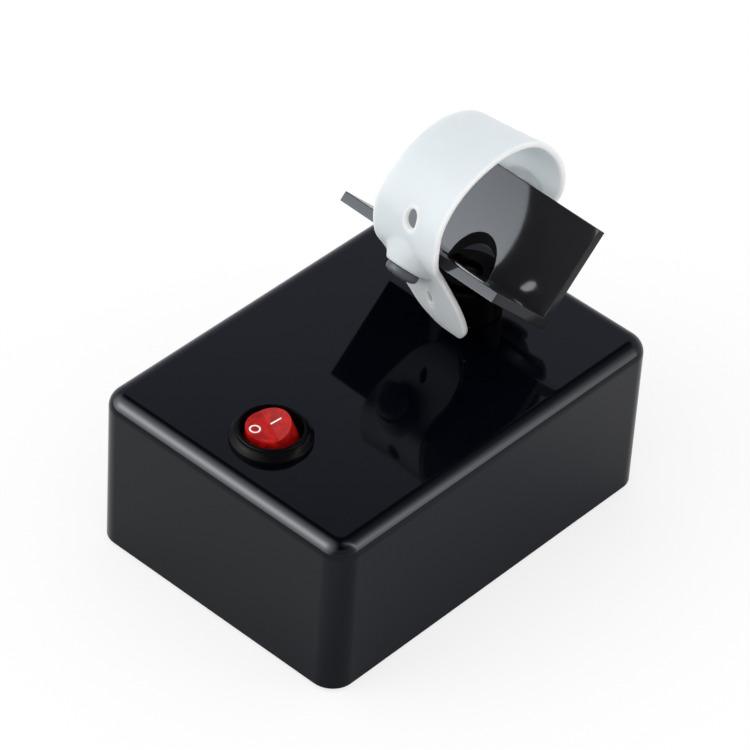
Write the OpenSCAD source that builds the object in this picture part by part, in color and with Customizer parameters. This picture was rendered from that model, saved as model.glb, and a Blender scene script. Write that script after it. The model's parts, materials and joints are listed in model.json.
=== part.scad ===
// Shaker for small nail varnish bottles.
// A glossy box stands on four rubber feet. A small motor inside drives an eccentric.
// The eccentric carries a post that comes out through the box's top, and two idler
// cranks of the same throw keep the post from turning, so the V-shaped cradle on it
// moves in small circles without spinning. A soft strap holds the bottle in the cradle.
// Units are millimetres. +X runs along the box from the switch to the cradle,
// +Y across it and +Z up. The origin is the middle of the footprint, on the table.

/* [Box] */
// outside length of the box
body_l = 126; // [110:1:150]
// outside width of the box
body_w = 90; // [84:1:110]
// height of the moulded shell, without the feet
body_h = 51; // [50:0.5:60]
// radius of the upright corners
corner_r = 7; // [5:0.5:10]
// radius of the edge round the top
edge_r = 4.8; // [2:0.2:5]
// thickness of the side walls
wall_t = 2.5; // [2:0.1:3]
// thickness of the top
top_t = 3; // [2.5:0.1:4]
// thickness of the plate that closes the box below
base_t = 2.5; // [2:0.1:3]
// how far the feet hold the shell off the table
foot_proud = 1; // [0.5:0.1:2]
// diameter of a rubber foot
foot_d = 12; // [8:0.5:16]

/* [Cradle] */
// length of one leg of the V, from its outer corner
leg_l = 31.2; // [26:0.2:40]
// thickness of the sheet
leg_t = 3; // [2:0.1:4]
// length of the trough
trough_l = 57.8; // [45:0.2:70]
// height of the V's outer corner above the box's top
corner_up = 9.3; // [8.8:0.1:16]
// angle at which the cradle was screwed down on its post
cradle_turn = -2.2; // [-10:0.1:10]
// distance of a peg from the V's outer corner, along the leg
peg_d = 27; // [22:0.2:28]
// distance of the pegs from the middle of the trough
peg_y = 2.4; // [-5:0.1:5]
// diameter of a peg's head
peg_head_d = 9.8; // [8:0.1:12]

/* [Post] */
// diameter of the post's outer sleeve
post_d = 21; // [20:0.2:24]
// diameter of the neck that comes up through the V
neck_d = 14.8; // [12:0.2:16]
// diameter of the spindle inside the post
spindle_d = 8; // [7:0.2:9]
// gap between the post and the box's top
post_gap = 0.6; // [0.4:0.1:1]

/* [Shaking drive] */
// distance of the drive's centre from the cradle's end of the box
drive_x = 29.7; // [28:0.1:34]
// radius of the circle in which the cradle moves
throw_r = 2.5; // [1.5:0.1:2.7]
// angle of the eccentric at rest
rest_angle = 23.6; // [0:0.1:360]
// diameter of the crank pins
pin_d = 3.9; // [3.5:0.1:4.2]
// distance of an idler crank behind the drive, along X
idler_back = 20; // [18:0.5:24]
// distance of an idler crank from the middle, along Y
idler_side = 14; // [12:0.5:14]
// diameter of the motor's can
motor_d = 32; // [28:0.5:34]
// gap between the motor's end cap and the base plate
motor_gap = 1.8; // [1:0.1:5]
// gap between the carriage and the box's top
top_gap = 0.8; // [0.5:0.1:2]

/* [Switch] */
// distance of the switch from its end of the box
switch_x = 20.5; // [17:0.5:26]
// diameter of the switch's bezel
bezel_d = 23; // [22:0.1:25]
// height of the bezel
bezel_h = 2.3; // [1.5:0.1:3]
// angle at which the switch was pushed in
switch_turn = -22; // [-90:1:90]
// half of the rocker's swing
rocker_half = 10; // [6:0.5:11]

/* [Power inlet] */
// place of the inlet along the back of the box
inlet_x = -30; // [-40:1:-20]
// height of the inlet above the table
inlet_z = 26; // [22:0.5:30]

/* [Strap] */
// thickness of the strap
strap_t = 1.8; // [1.4:0.1:2.2]
// width of the strap where it goes over the bottle
strap_w = 24; // [20:0.5:28]
// how far the strap's edges curl outwards over the bottle
strap_curl = 1.2; // [0:0.1:2]

/* [Part] */
// which piece to build

/* [Hidden] */
$fn = 64;
eps = 0.01;
rim_z = foot_proud;
top_z = rim_z + body_h;
ceil_z = top_z - top_t;
base_low = rim_z + 0.5;
base_top = base_low + base_t;
// what a tapped or driven screw keeps from its hole
screw_gap = 0.05;
// what a turning pin keeps from its bore, on the radius
run_gap = 0.05;
// what a pressed piece keeps from its seat, on the radius
seat_gap = 0.02;
m3_r = 1.5;
m3_hole = 1.7;
m3_head_r = 2.8;
m3_head_h = 1.9;
base_screw_l = 10;
stand_screw_l = 9;
plate_screw_l = 7;
motor_screw_l = 6;
boss_r = 4;
boss_in = 9;
boss_x = body_l / 2 - boss_in;
boss_y = body_w / 2 - boss_in;
rib_t = 1.6;
foot_in_x = 19;
foot_in_y = 11;
foot_x = body_l / 2 - foot_in_x;
foot_y = body_w / 2 - foot_in_y;
// heights inside, from the top down
arm_t = 4;
carriage_boss_h = 3;
arm_low = ceil_z - top_gap - carriage_boss_h - arm_t;
arm_top = arm_low + arm_t;
disc_t = 3.6;
disc_top = arm_low - 0.6;
disc_low = disc_top - disc_t;
hub_h = 2;
plate_t = 2;
plate_top = disc_low - hub_h;
plate_low = plate_top - plate_t;
idler_low = plate_top + 1.2;
idler_top = arm_low - 1.2;
stand_h = plate_low - base_top;
stand_d = 6.35;
// the motor is as long as the box's height allows
cap_h = 2.6;
can_low = base_top + motor_gap + cap_h;
motor_l = plate_low - can_low;
// places along the box
drive_at = [body_l / 2 - drive_x, 0, 0];
stand_back = 23.3;
stand_front = 20.7;
stand_x0 = drive_at[0] - stand_back;
stand_x1 = drive_at[0] + stand_front;
stand_y = 22;
plate_edge = 4.5;
fix_r = 11;
shaft_r = 1.5;
pin_r = pin_d / 2;
bush_r = 3.2;
bush_flange_r = 4.5;
bush_l = 5;
bush_flange_t = 1;
bearing_r = 4.5;
bearing_h = 4;
neck_low = top_z + post_gap;
corner_z = top_z + corner_up;
post_top = corner_z + 2;
web_low = corner_z - 1;
web_top = corner_z + 0.5;
spindle_top = web_low - 0.1;
shoulder_r = spindle_d / 2 + 0.6;
hole_r = shoulder_r + throw_r + 0.7;
m4_r = 2;
m4_head_r = 3.9;
m4_head_h = 2.6;
m4_l = 11;
c45 = sqrt(0.5);
off = [throw_r * cos(rest_angle), throw_r * sin(rest_angle), 0];
rest_at = drive_at + off;
idlers = [drive_at + [-idler_back, idler_side, 0], drive_at + [-idler_back, -idler_side, 0]];
inner_l = body_l - 2 * wall_t;
inner_w = body_w - 2 * wall_t;
inner_r = corner_r - wall_t;
// switch
switch_at = [switch_x - body_l / 2, 0, 0];
pivot_z = top_z - 1;
well_r = 8.6;
rocker_r = 7.5;
barrel_r = 9.9;
barrel_h = 12;
blade_w = 4.8;
blade_t = 0.8;
blade_out = 8;
blade_gap = 4;
// power inlet
inlet_r = 5.95;
flange_r = 7;
flange_t = 1.6;
inlet_l = 14;
plug_r = 3.1;
plug_l = 10;
tag_l = 4.1;
tag_w = 2.5;
tag_t = 0.5;
solder_gap = 0.25;
lead_y = body_w / 2 - inlet_l - tag_l - solder_gap;
lead_r = 0.9;
motor_tag_l = 5;
motor_tag_y = 5;
// what a peg's shank and head measure, and how deep it sits in the leg
peg_r = 2;
peg_gap = 5.8;
peg_head_t = 2.9;
peg_seat = 2.2;
// the neck ends just under the bottom of the V
neck_top = corner_z + leg_t / c45 - 0.84;

// ---- shared shapes ----

// block with round upright corners, standing on z
module round_block(l, w, r, z0, z1) {
  translate([-l / 2 + r, -w / 2, z0]) cube([l - 2 * r, w, z1 - z0]);
  translate([-l / 2, -w / 2 + r, z0]) cube([l, w - 2 * r, z1 - z0]);
  for (x = [-1, 1], y = [-1, 1])
    translate([x * (l / 2 - r), y * (w / 2 - r), z0]) cylinder(r = r, h = z1 - z0);
}

// the same block with its top edge rounded over
module soft_block(l, w, r, e, z0, z1) {
  round_block(l, w, r, z0, z1 - e);
  round_block(l - 2 * e, w - 2 * e, r - e, z1 - e - 1, z1);
  for (s = [-1, 1]) {
    translate([-l / 2 + r, s * (w / 2 - e), z1 - e]) rotate([0, 90, 0]) cylinder(r = e, h = l - 2 * r);
    translate([s * (l / 2 - e), w / 2 - r, z1 - e]) rotate([90, 0, 0]) cylinder(r = e, h = w - 2 * r);
  }
  for (x = [-1, 1], y = [-1, 1])
    translate([x * (l / 2 - r), y * (w / 2 - r), z1 - e]) rotate_extrude() union() {
      translate([0, -1]) square([r, 1]);
      square([r - e, e]);
      translate([r - e, 0]) intersection() {
        circle(r = e);
        square(e + 1);
      }
    }
}

// pan-headed screw, head's underside at z, shank pointing down
module pan_screw(r, head_r, head_h, l) {
  rotate_extrude() union() {
    translate([0, -l]) square([r, l + eps]);
    square([head_r, head_h * 0.55]);
    intersection() {
      translate([0, head_h - head_r * 1.6]) circle(r = head_r * 1.6);
      square([head_r, head_h]);
    }
  }
}

// countersunk screw, flat head's face at z = 0 and facing down, shank pointing up
module sunk_screw(r, head_r, l) {
  rotate_extrude() polygon([[0, 0], [head_r, 0], [head_r, 0.3], [r, head_r - r + 0.3], [r, l], [0, l]]);
}

module sunk_hole(r, head_r, l) {
  translate([0, 0, -1]) cylinder(r = r, h = l + 2);
  rotate_extrude()
    polygon([[0, -1], [head_r + 0.1, -1], [head_r + 0.1, 0.3], [r, head_r - r + 0.4], [0, head_r - r + 0.4]]);
}

// ring of a lead round one point of its route, square to the route
function lead_ring(pts, s, r, sides) = let(
  p = on_course(pts, s), d = on_course(pts, s + 0.02) - on_course(pts, s - 0.02), n = d / norm(d),
  a = cross(n, [0.3, 0.8, 0.52]), u = a / norm(a), w = cross(n, u))
  [for (i = [0:sides - 1]) p + r * (cos(i * 360 / sides) * u + sin(i * 360 / sides) * w)];

// insulated lead along a smooth route through a list of points
module lead(pts, r) {
  sides = 8;
  n = (len(pts) - 1) * 4;
  rings = [for (i = [0:n]) each lead_ring(pts, i / 4 + (i == 0 ? 0.001 : 0) - (i == n ? 0.001 : 0), r, sides)];
  walls = [for (i = [0:n - 1], j = [0:sides - 1]) let(k = (j + 1) % sides) each
    [[i * sides + j, (i + 1) * sides + k, i * sides + k], [i * sides + j, (i + 1) * sides + j, (i + 1) * sides + k]]];
  ends = [[for (j = [0:sides - 1]) j], [for (j = [sides - 1:-1:0]) n * sides + j]];
  polyhedron(points = rings, faces = concat(walls, ends), convexity = 6);
}

module at_corners(x, y) {
  for (i = [-1, 1], j = [-1, 1]) translate([i * x, j * y, 0]) children();
}

module at_stands() {
  for (x = [stand_x0, stand_x1], y = [-stand_y, stand_y]) translate([x, y, 0]) children();
}

module on_switch() {
  translate(switch_at) rotate([0, 0, switch_turn]) children();
}

// cradle's own frame: origin at the V's outer corner over the post
module on_cradle() {
  translate(rest_at) rotate([0, 0, cradle_turn]) translate([0, 0, corner_z]) children();
}

// peg's own frame: +Z out of the leg's outer face, side -1 in front and 1 behind
module on_leg(side) {
  translate([side * peg_d * c45, peg_y, peg_d * c45]) rotate([0, side * 135, 0]) children();
}

// ---- box ----

module housing() {
  color("black") difference() {
    union() {
      difference() {
        soft_block(body_l, body_w, corner_r, edge_r, rim_z, top_z);
        round_block(inner_l, inner_w, inner_r, rim_z - 1, ceil_z);
      }
      at_corners(boss_x, boss_y) translate([0, 0, base_top]) cylinder(r = boss_r, h = ceil_z + 1 - base_top);
      for (i = [-1, 1], j = [-1, 1]) {
        translate([i * boss_x - rib_t / 2, j > 0 ? boss_y : -inner_w / 2 - 1, base_top])
          cube([rib_t, inner_w / 2 + 1 - boss_y, ceil_z + 1 - base_top]);
        translate([i > 0 ? boss_x : -inner_l / 2 - 1, j * boss_y - rib_t / 2, base_top])
          cube([inner_l / 2 + 1 - boss_x, rib_t, ceil_z + 1 - base_top]);
      }
      // pad that thickens the wall round the inlet
      translate([inlet_x, inner_w / 2 + 1, inlet_z]) rotate([90, 0, 0]) cylinder(r = flange_r + 3, h = 3);
    }
    at_corners(boss_x, boss_y) translate([0, 0, base_top - 1]) cylinder(r = m3_r, h = base_screw_l + 3);
    translate(drive_at + [0, 0, ceil_z - 1]) cylinder(r = hole_r, h = top_t + 2);
    translate(switch_at + [0, 0, ceil_z - 1]) cylinder(r = barrel_r + 0.2, h = top_t + 2);
    translate([inlet_x, body_w / 2 + 1, inlet_z]) rotate([90, 0, 0]) cylinder(r = flange_r + 0.15, h = flange_t + 1);
    translate([inlet_x, body_w / 2 + 1, inlet_z]) rotate([90, 0, 0]) cylinder(r = inlet_r + 0.05, h = 8);
  }
}

module base_plate() {
  color("dimgray") difference() {
    round_block(inner_l - 0.6, inner_w - 0.6, inner_r - 0.3, base_low, base_top);
    at_corners(boss_x, boss_y) translate([0, 0, base_low]) sunk_hole(m3_hole, m3_head_r, base_t);
    at_stands() translate([0, 0, base_low]) sunk_hole(m3_hole, m3_head_r, base_t);
    // air slots under the motor
    for (i = [-2:2]) translate([drive_at[0] + i * 5 - 1, -9, base_low - 1]) cube([2, 18, base_t + 2]);
  }
}

module base_screws() {
  color("silver") at_corners(boss_x, boss_y)
    translate([0, 0, base_low]) sunk_screw(m3_r - screw_gap, m3_head_r - 0.05, base_screw_l);
}

module rubber_feet() {
  color("dimgray") at_corners(foot_x, foot_y) rotate_extrude()
    polygon([[0, 0], [foot_d / 2 - 0.5, 0], [foot_d / 2, 0.5], [foot_d / 2, base_low], [0, base_low]]);
}

// ---- switch ----

module switch_body() {
  color("black") on_switch() difference() {
    union() {
      translate([0, 0, top_z]) rotate_extrude() polygon([
        [0, 0], [bezel_d / 2, 0], [bezel_d / 2, 0.6], [bezel_d / 2 - 0.5, 1.1],
        [bezel_d / 2 - 1.5, 1.5], [bezel_d / 2 - 1.9, bezel_h], [0, bezel_h]]);
      translate([0, 0, top_z - barrel_h]) cylinder(r = barrel_r, h = barrel_h + eps);
      // snap wings that grip under the box's top
      for (s = [-1, 1]) translate([-2.5, s > 0 ? barrel_r - 1 : -barrel_r - 0.9, ceil_z - 2.5]) cube([5, 1.9, 2.5]);
    }
    translate([0, 0, top_z - barrel_h + 3]) cylinder(r = well_r, h = 20);
    // sockets for the rocker's two pivots
    translate([0, -barrel_r + 0.5, pivot_z]) rotate([-90, 0, 0]) cylinder(r = 1 + run_gap, h = 2 * barrel_r - 1);
    // slots the blades come through
    for (s = [-1, 1]) translate([s * blade_gap, 0, top_z - barrel_h + 1.5])
      cube([blade_t + 0.1, blade_w + 0.1, 5], center = true);
  }
}

module switch_rocker() {
  color("red") on_switch() translate([0, 0, pivot_z]) rotate([0, -rocker_half, 0]) difference() {
    union() {
      translate([0, 0, -3.5]) cylinder(r = rocker_r, h = 8);
      rotate([90, 0, 0]) cylinder(r = 1, h = 2 * (barrel_r - 0.7), center = true);
    }
    // two flats that meet in a shallow valley over the pivot
    for (s = [-1, 1]) translate([0, 0, 2.9]) rotate([0, s * -rocker_half, 0])
      translate([s > 0 ? 0 : -20, -10, 0]) cube([20, 20, 10]);
    // hollow below, as a moulding
    translate([0, 0, -5.5]) cylinder(r = rocker_r - 1.4, h = 4);
  }
}

module switch_terminals() {
  color("gold") on_switch() for (s = [-1, 1])
    translate([s * blade_gap - blade_t / 2, -blade_w / 2, top_z - barrel_h - blade_out]) difference() {
      cube([blade_t, blade_w, blade_out + 3.2]);
      translate([-1, blade_w / 2, 3]) rotate([0, 90, 0]) cylinder(r = blade_t, h = 3);
    }
}

// ---- power inlet in the back wall ----

module at_inlet() {
  translate([inlet_x, body_w / 2, inlet_z]) rotate([90, 0, 0]) children();
}

module inlet_body() {
  color("black") at_inlet() difference() {
    union() {
      cylinder(r = flange_r, h = flange_t);
      cylinder(r = inlet_r, h = inlet_l);
    }
    translate([0, 0, -1]) cylinder(r = plug_r, h = plug_l + 1);
    translate([0, 0, plug_l - 1]) cylinder(r = 1.05 + seat_gap, h = inlet_l);
    for (s = [-1, 1]) translate([s * 3.6, 0, inlet_l]) cube([tag_w + 0.1, tag_t + 0.1, 4], center = true);
  }
}

module inlet_pin() {
  color("silver") at_inlet() rotate_extrude()
    polygon([[0, 1.2], [0.7, 1.2], [1.05, 1.7], [1.05, inlet_l - 0.1], [0, inlet_l - 0.1]]);
}

module inlet_nut() {
  color("silver") at_inlet() translate([0, 0, 4.5]) difference() {
    cylinder(r = flange_r + 1.2, h = 2.2, $fn = 6);
    translate([0, 0, -1]) cylinder(r = inlet_r + 0.03, h = 5);
  }
}

module inlet_tags() {
  color("gold") at_inlet() for (s = [-1, 1])
    translate([s * 3.6 - tag_w / 2, -tag_t / 2, inlet_l - 1.9]) cube([tag_w, tag_t, tag_l + 1.9]);
}

// ---- leads ----

// lower end of one of the switch's blades
function blade_end(s) = switch_at + [s * blade_gap * cos(switch_turn), s * blade_gap * sin(switch_turn),
  top_z - barrel_h - blade_out - solder_gap];
// outer end of one of the motor's tags
function motor_tag_end(s) = drive_at + [-motor_d / 2 - 4 - solder_gap, s * motor_tag_y, can_low - lead_r];

module feed_lead() {
  e = blade_end(-1);
  color("red") lead([[inlet_x - 3.6, lead_y, inlet_z], [inlet_x - 3.6, lead_y - 4, inlet_z],
    [e[0], e[1] + 6, e[2] - 10], [e[0], e[1], e[2] - 8], e], lead_r);
}

module switched_lead() {
  e = blade_end(1);
  m = motor_tag_end(-1);
  color("red") lead([e, e - [0, 0, 6], [e[0] + 8, e[1] - 6, can_low + 1.6], m - [8, 0, 0], m], lead_r);
}

module return_lead() {
  m = motor_tag_end(1);
  color("dimgray") lead([[inlet_x + 3.6, lead_y, inlet_z], [inlet_x + 3.6, lead_y - 4, inlet_z],
    [inlet_x + 12, 12, can_low + 1.6], m - [8, 0, 0], m], lead_r);
}

// ---- motor and its mounting ----

module standoffs() {
  color("silver") at_stands() translate([0, 0, base_top]) difference() {
    cylinder(d = stand_d, h = stand_h, $fn = 6);
    translate([0, 0, -1]) cylinder(r = m3_r, h = stand_h + 2);
  }
}

module standoff_screws() {
  color("silver") at_stands() translate([0, 0, base_low]) sunk_screw(m3_r - screw_gap, m3_head_r - 0.05, stand_screw_l);
}

module motor_plate() {
  mx = (stand_x0 + stand_x1) / 2;
  color("silver") difference() {
    translate([mx, 0, 0])
      round_block(stand_x1 - stand_x0 + 2 * plate_edge, 2 * (stand_y + plate_edge), plate_edge, plate_low, plate_top);
    at_stands() translate([0, 0, plate_low - 1]) cylinder(r = m3_hole, h = plate_t + 2);
    translate(drive_at + [0, 0, plate_low - 1]) cylinder(r = 4.1, h = plate_t + 2);
    for (s = [-1, 1]) translate(drive_at + [0, s * fix_r, plate_low - 1]) cylinder(r = 1.4, h = plate_t + 2);
    for (p = idlers) translate([p[0], p[1], plate_low - 1]) cylinder(r = bush_r + seat_gap, h = plate_t + 2);
    // lightening window between the idler bushes and the motor
    translate([drive_at[0] - idler_back - 1, -6, plate_low - 1]) cube([8, 12, plate_t + 2]);
  }
}

module plate_screws() {
  color("silver") at_stands() translate([0, 0, plate_top]) pan_screw(m3_r - screw_gap, m3_head_r, m3_head_h, plate_screw_l);
}

module motor_can() {
  color("silver") translate(drive_at) difference() {
    union() {
      translate([0, 0, can_low]) cylinder(d = motor_d - 2, h = motor_l);
      translate([0, 0, can_low]) cylinder(d = motor_d, h = motor_l - 1);
      translate([0, 0, plate_low - 1]) cylinder(r = 4, h = plate_t + 0.6);
    }
    translate([0, 0, can_low + 4]) cylinder(r = shaft_r + run_gap, h = motor_l);
    for (s = [-1, 1]) translate([0, s * fix_r, plate_low - motor_screw_l + 1.5]) cylinder(r = 1.25, h = motor_screw_l);
    // seat of the end cap
    translate([0, 0, can_low - 1]) cylinder(d = motor_d - 1.4, h = 2);
  }
}

module motor_end_cap() {
  color("white") translate(drive_at) difference() {
    union() {
      translate([0, 0, can_low - 2]) cylinder(d = motor_d - 1.44, h = 3);
      translate([0, 0, can_low - cap_h]) cylinder(r = 4.5, h = 1);
    }
    for (s = [-1, 1]) translate([-motor_d / 2 - 1, s * motor_tag_y - 1.6, can_low - 1.25])
      cube([motor_tag_l + 1, 3.2, 0.7]);
  }
}

module motor_tags() {
  color("gold") for (s = [-1, 1])
    translate(drive_at + [-motor_d / 2 - 4, s * motor_tag_y - 1.5, can_low - 1.2]) cube([motor_tag_l + 3.9, 3, 0.6]);
}

module motor_screws() {
  color("silver") for (s = [-1, 1])
    translate(drive_at + [0, s * fix_r, plate_top]) pan_screw(1.25 - screw_gap, 2.2, 1.5, motor_screw_l);
}

// flanged bush, flange on top, bore right through
module flanged_bush(l, flange) {
  difference() {
    union() {
      cylinder(r = bush_r, h = l);
      translate([0, 0, l - flange]) cylinder(r = bush_flange_r, h = flange);
    }
    translate([0, 0, -1]) cylinder(r = pin_r + run_gap, h = l + 2);
  }
}

module plate_bushes() {
  color("goldenrod") for (p = idlers) translate([p[0], p[1], plate_top + bush_flange_t - bush_l]) flanged_bush(bush_l, bush_flange_t);
}

// ---- drive ----

module motor_shaft() {
  color("silver") translate(drive_at + [0, 0, can_low + 4.2]) cylinder(r = shaft_r, h = disc_top - 1.2 - can_low - 4.2);
}

module drive_eccentric() {
  color("gray") translate(drive_at) rotate([0, 0, rest_angle]) difference() {
    union() {
      translate([0, 0, disc_low - hub_h + 0.4]) cylinder(r = 4.5, h = hub_h);
      translate([0, 0, disc_low]) cylinder(r = 7, h = disc_top - disc_low);
      // balance weight opposite the pin
      intersection() {
        translate([0, 0, disc_low]) cylinder(r = 11, h = disc_top - disc_low);
        translate([-12, -12, disc_low - 1]) cube([9.5, 24, 8]);
      }
      translate([throw_r, 0, disc_top - 1]) cylinder(r = pin_r, h = arm_low + bearing_h - disc_top + 1);
    }
    translate([0, 0, disc_low - 3]) cylinder(r = shaft_r + seat_gap, h = disc_top - 1.1 - disc_low + 3);
    translate([0, 0, disc_low + 1.7]) rotate([-90, 0, 0]) cylinder(r = 1, h = 12);
  }
}

module grub_screw() {
  color("dimgray") translate(drive_at) rotate([0, 0, rest_angle])
    translate([0, shaft_r + 0.01, disc_low + 1.7]) rotate([-90, 0, 0]) difference() {
      cylinder(r = 1 - seat_gap, h = 4.6);
      translate([0, 0, 3.4]) cylinder(r = 0.5, h = 2, $fn = 6);
    }
}

// one idler crank: lower pin in the motor plate, upper pin in the carriage
module idler_crank(p) {
  color("gray") translate(p) difference() {
    union() {
      translate([0, 0, idler_low]) cylinder(r = 5.5, h = idler_top - idler_low);
      translate([0, 0, plate_top - bush_l - 0.2]) cylinder(r = pin_r, h = idler_low - plate_top + bush_l + 0.3);
      translate(off + [0, 0, idler_top - 0.1]) cylinder(r = pin_r, h = arm_top + 1.2 - idler_top + 0.1);
    }
    translate([0, 0, plate_top - bush_l + 0.2]) clip_groove();
    translate(off + [0, 0, arm_top + 0.1]) clip_groove();
  }
}

module clip_groove() {
  difference() {
    cylinder(r = pin_r + 1, h = 0.7);
    translate([0, 0, -1]) cylinder(r = pin_r - 0.45, h = 3);
  }
}

module e_clip() {
  difference() {
    cylinder(r = 3.5, h = 0.6);
    translate([0, 0, -1]) cylinder(r = pin_r - 0.43, h = 3);
    translate([-1.3, 0, -1]) cube([2.6, 5, 3]);
  }
}

module idler_clips(p) {
  color("silver") translate(p) {
    translate([0, 0, plate_top - bush_l + 0.25]) e_clip();
    translate(off + [0, 0, arm_top + 0.15]) e_clip();
  }
}

module left_idler() { idler_crank(idlers[0]); }
module left_idler_clips() { idler_clips(idlers[0]); }
module right_idler() { idler_crank(idlers[1]); }
module right_idler_clips() { idler_clips(idlers[1]); }

// ---- what moves in circles ----

// straight arm between two bosses of the carriage
module arm(p, q, w) {
  d = q - p;
  translate([p[0], p[1], arm_low]) rotate([0, 0, atan2(d[1], d[0])])
    translate([0, -w / 2, 0]) cube([norm(d), w, arm_t]);
}

module carriage() {
  zero = [0, 0, 0];
  ia = idlers[0] - drive_at;
  ib = idlers[1] - drive_at;
  color("silver") translate(rest_at) difference() {
    union() {
      arm(zero, ia, 8);
      arm(zero, ib, 8);
      arm(ia, ib, 7);
      for (p = [ia, ib]) translate([p[0], p[1], arm_low]) cylinder(r = 5.5, h = arm_t);
      translate([0, 0, arm_low]) cylinder(r = 7.5, h = arm_t + carriage_boss_h);
      translate([0, 0, arm_top]) cylinder(r = shoulder_r, h = neck_low - arm_top);
      intersection() {
        translate([0, 0, neck_low - 1]) cylinder(r = spindle_d / 2, h = spindle_top - neck_low + 1);
        translate([-10, -10, 0]) cube([20, 10 + spindle_d / 2 - 1, 100]);
      }
    }
    translate([0, 0, arm_low - 1]) cylinder(r = bearing_r + seat_gap, h = bearing_h + 1.05);
    for (p = [ia, ib]) translate([p[0], p[1], arm_low - 1]) cylinder(r = bush_r + seat_gap, h = arm_t + 2);
    translate([0, 0, ceil_z - 1]) cylinder(r = m4_r, h = 30);
  }
}

module pin_bearing() {
  color("silver") translate(rest_at + [0, 0, arm_low]) difference() {
    cylinder(r = bearing_r, h = bearing_h);
    translate([0, 0, -1]) cylinder(r = pin_r + run_gap, h = 6);
    // shields set back between the rings
    for (z = [-1, bearing_h - 0.25]) translate([0, 0, z]) difference() {
      cylinder(r = 3.8, h = 1.25);
      translate([0, 0, -1]) cylinder(r = 2.7, h = 4);
    }
  }
}

module carriage_bushes() {
  color("goldenrod") for (p = idlers) translate(p + off + [0, 0, arm_top]) rotate([180, 0, 0]) flanged_bush(bush_l, bush_flange_t);
}

module post() {
  color("black") translate(rest_at) rotate([0, 0, cradle_turn]) difference() {
    union() {
      difference() {
        translate([0, 0, neck_low]) cylinder(d = post_d, h = post_top - neck_low);
        translate([0, 0, corner_z]) rotate([0, -45, 0]) translate([0, -20, 0]) cube([20, 40, 20]);
      }
      translate([0, 0, web_low]) cylinder(d = neck_d, h = neck_top - web_low);
    }
    // flatted bore over the spindle
    intersection() {
      translate([0, 0, neck_low - 1]) cylinder(r = spindle_d / 2 + run_gap, h = web_low - neck_low + 1);
      rotate([0, 0, -cradle_turn]) translate([-10, -10, 0]) cube([20, 10 + spindle_d / 2 - 1 + run_gap, 100]);
    }
    cylinder(r = m4_r + 0.15, h = 100);
    translate([0, 0, web_top]) cylinder(r = m4_head_r + 0.4, h = 40);
  }
}

module trough_section() {
  a = leg_l * c45;
  t = leg_t * c45;
  polygon([[0, 0], [a, a], [a - t, a + t], [0, 2 * t], [-a + t, a + t], [-a, a]]);
}

module cradle() {
  color([0.1, 0.1, 0.11]) on_cradle() difference() {
    rotate([90, 0, 0]) linear_extrude(height = trough_l, center = true) trough_section();
    translate([0, 0, -5]) cylinder(d = neck_d + 0.2, h = 40);
    for (s = [-1, 1]) on_leg(s) translate([0, 0, -peg_seat - seat_gap]) cylinder(r = peg_r + seat_gap, h = peg_seat + 2);
  }
}

module cradle_screw() {
  color("dimgray") translate(rest_at + [0, 0, web_top]) pan_screw(m4_r - screw_gap, m4_head_r, m4_head_h, m4_l);
}

module strap_pegs() {
  h = peg_head_d / 2;
  color("dimgray") on_cradle() for (s = [-1, 1]) on_leg(s) rotate_extrude() polygon([
    [0, -peg_seat], [peg_r, -peg_seat], [peg_r, peg_gap], [h - 0.4, peg_gap], [h, peg_gap + 0.5],
    [h, peg_gap + peg_head_t / 2], [h - 0.8, peg_gap + 2.2], [h * 0.6, peg_gap + 2.7],
    [0, peg_gap + peg_head_t]]);
}

// ---- strap ----

// course of the strap's middle surface in the cradle's frame, from the loose tail
// over the bottle to the rear end: [x, z, middle y, half width, curl of the edges,
// lean of the far edge outwards]
sw = strap_w / 2;
function course() = [
  [-12.4, -7.0, -7.4, 2.4, 0, 0], [-13.6, -5.2, -7.3, 5.2, 0, 0], [-15.2, -1.0, -6.2, 8.6, 0.1, 0],
  [-16.7, 4.4, -4.3, 10.2, 0.2, 0], [-18.0, 9.2, -2.3, 10.8, 0.3, 0], [-19.3, 13.4, -0.2, 10.8, 0.2, 0],
  [-20.9, 17.3, 1.2, 11.0, 0.1, 0], [-23.1, 22.0, 1.9, 11.6, 0.2, 0], [-23.3, 28.0, 2.0, 12, 0.5, 0],
  [-22.2, 34.0, 2.0, sw, 0.7, 0], [-18.7, 39.6, 2.0, sw, 0.45, -0.3], [-13.5, 43.8, 2.0, sw, 0.4, -0.35],
  [-7.1, 46.5, 2.0, sw, 0.35, -0.45], [-0.5, 47.6, 2.0, sw, 0.25, -0.75], [6.3, 47.0, 2.0, sw, 0.15, -1.05],
  [12.9, 44.4, 2.0, sw, 0.1, -1.25], [18.7, 39.2, 2.0, sw, 0.2, -1.05], [22.8, 33.0, 2.0, sw, 0.5, -0.5],
  [24.6, 27.0, 2.0, sw, 0.5, -0.3], [24.3, 21.4, 2.2, 11.6, 0.2, -0.4], [20.9, 17.3, 2.4, 10.5, 0, 0],
  [17.6, 13.4, 2.4, 7.6, 0, 0], [16.0, 11.7, 2.4, 3.4, 0, 0]];
across = [-1, -0.72, -0.36, 0, 0.36, 0.72, 1];
per = 3;

// smooth curve through four neighbours
function blend(a, b, c, d, t) =
  0.5 * (2 * b + (c - a) * t + (2 * a - 5 * b + 4 * c - d) * t * t + (3 * b - a - 3 * c + d) * t * t * t);
function knot(k, i) = k[max(0, min(len(k) - 1, i))];
function on_course(k, s) = let(i = min(len(k) - 2, floor(s)), t = s - i)
  blend(knot(k, i - 1), knot(k, i), knot(k, i + 1), knot(k, i + 2), t);
// outward direction across the strap at s, square to its course
function outward(k, s) = let(d = on_course(k, s + 0.05) - on_course(k, s - 0.05), n = norm([d[0], d[1]]))
  [-d[1] / n, d[0] / n];
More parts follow.
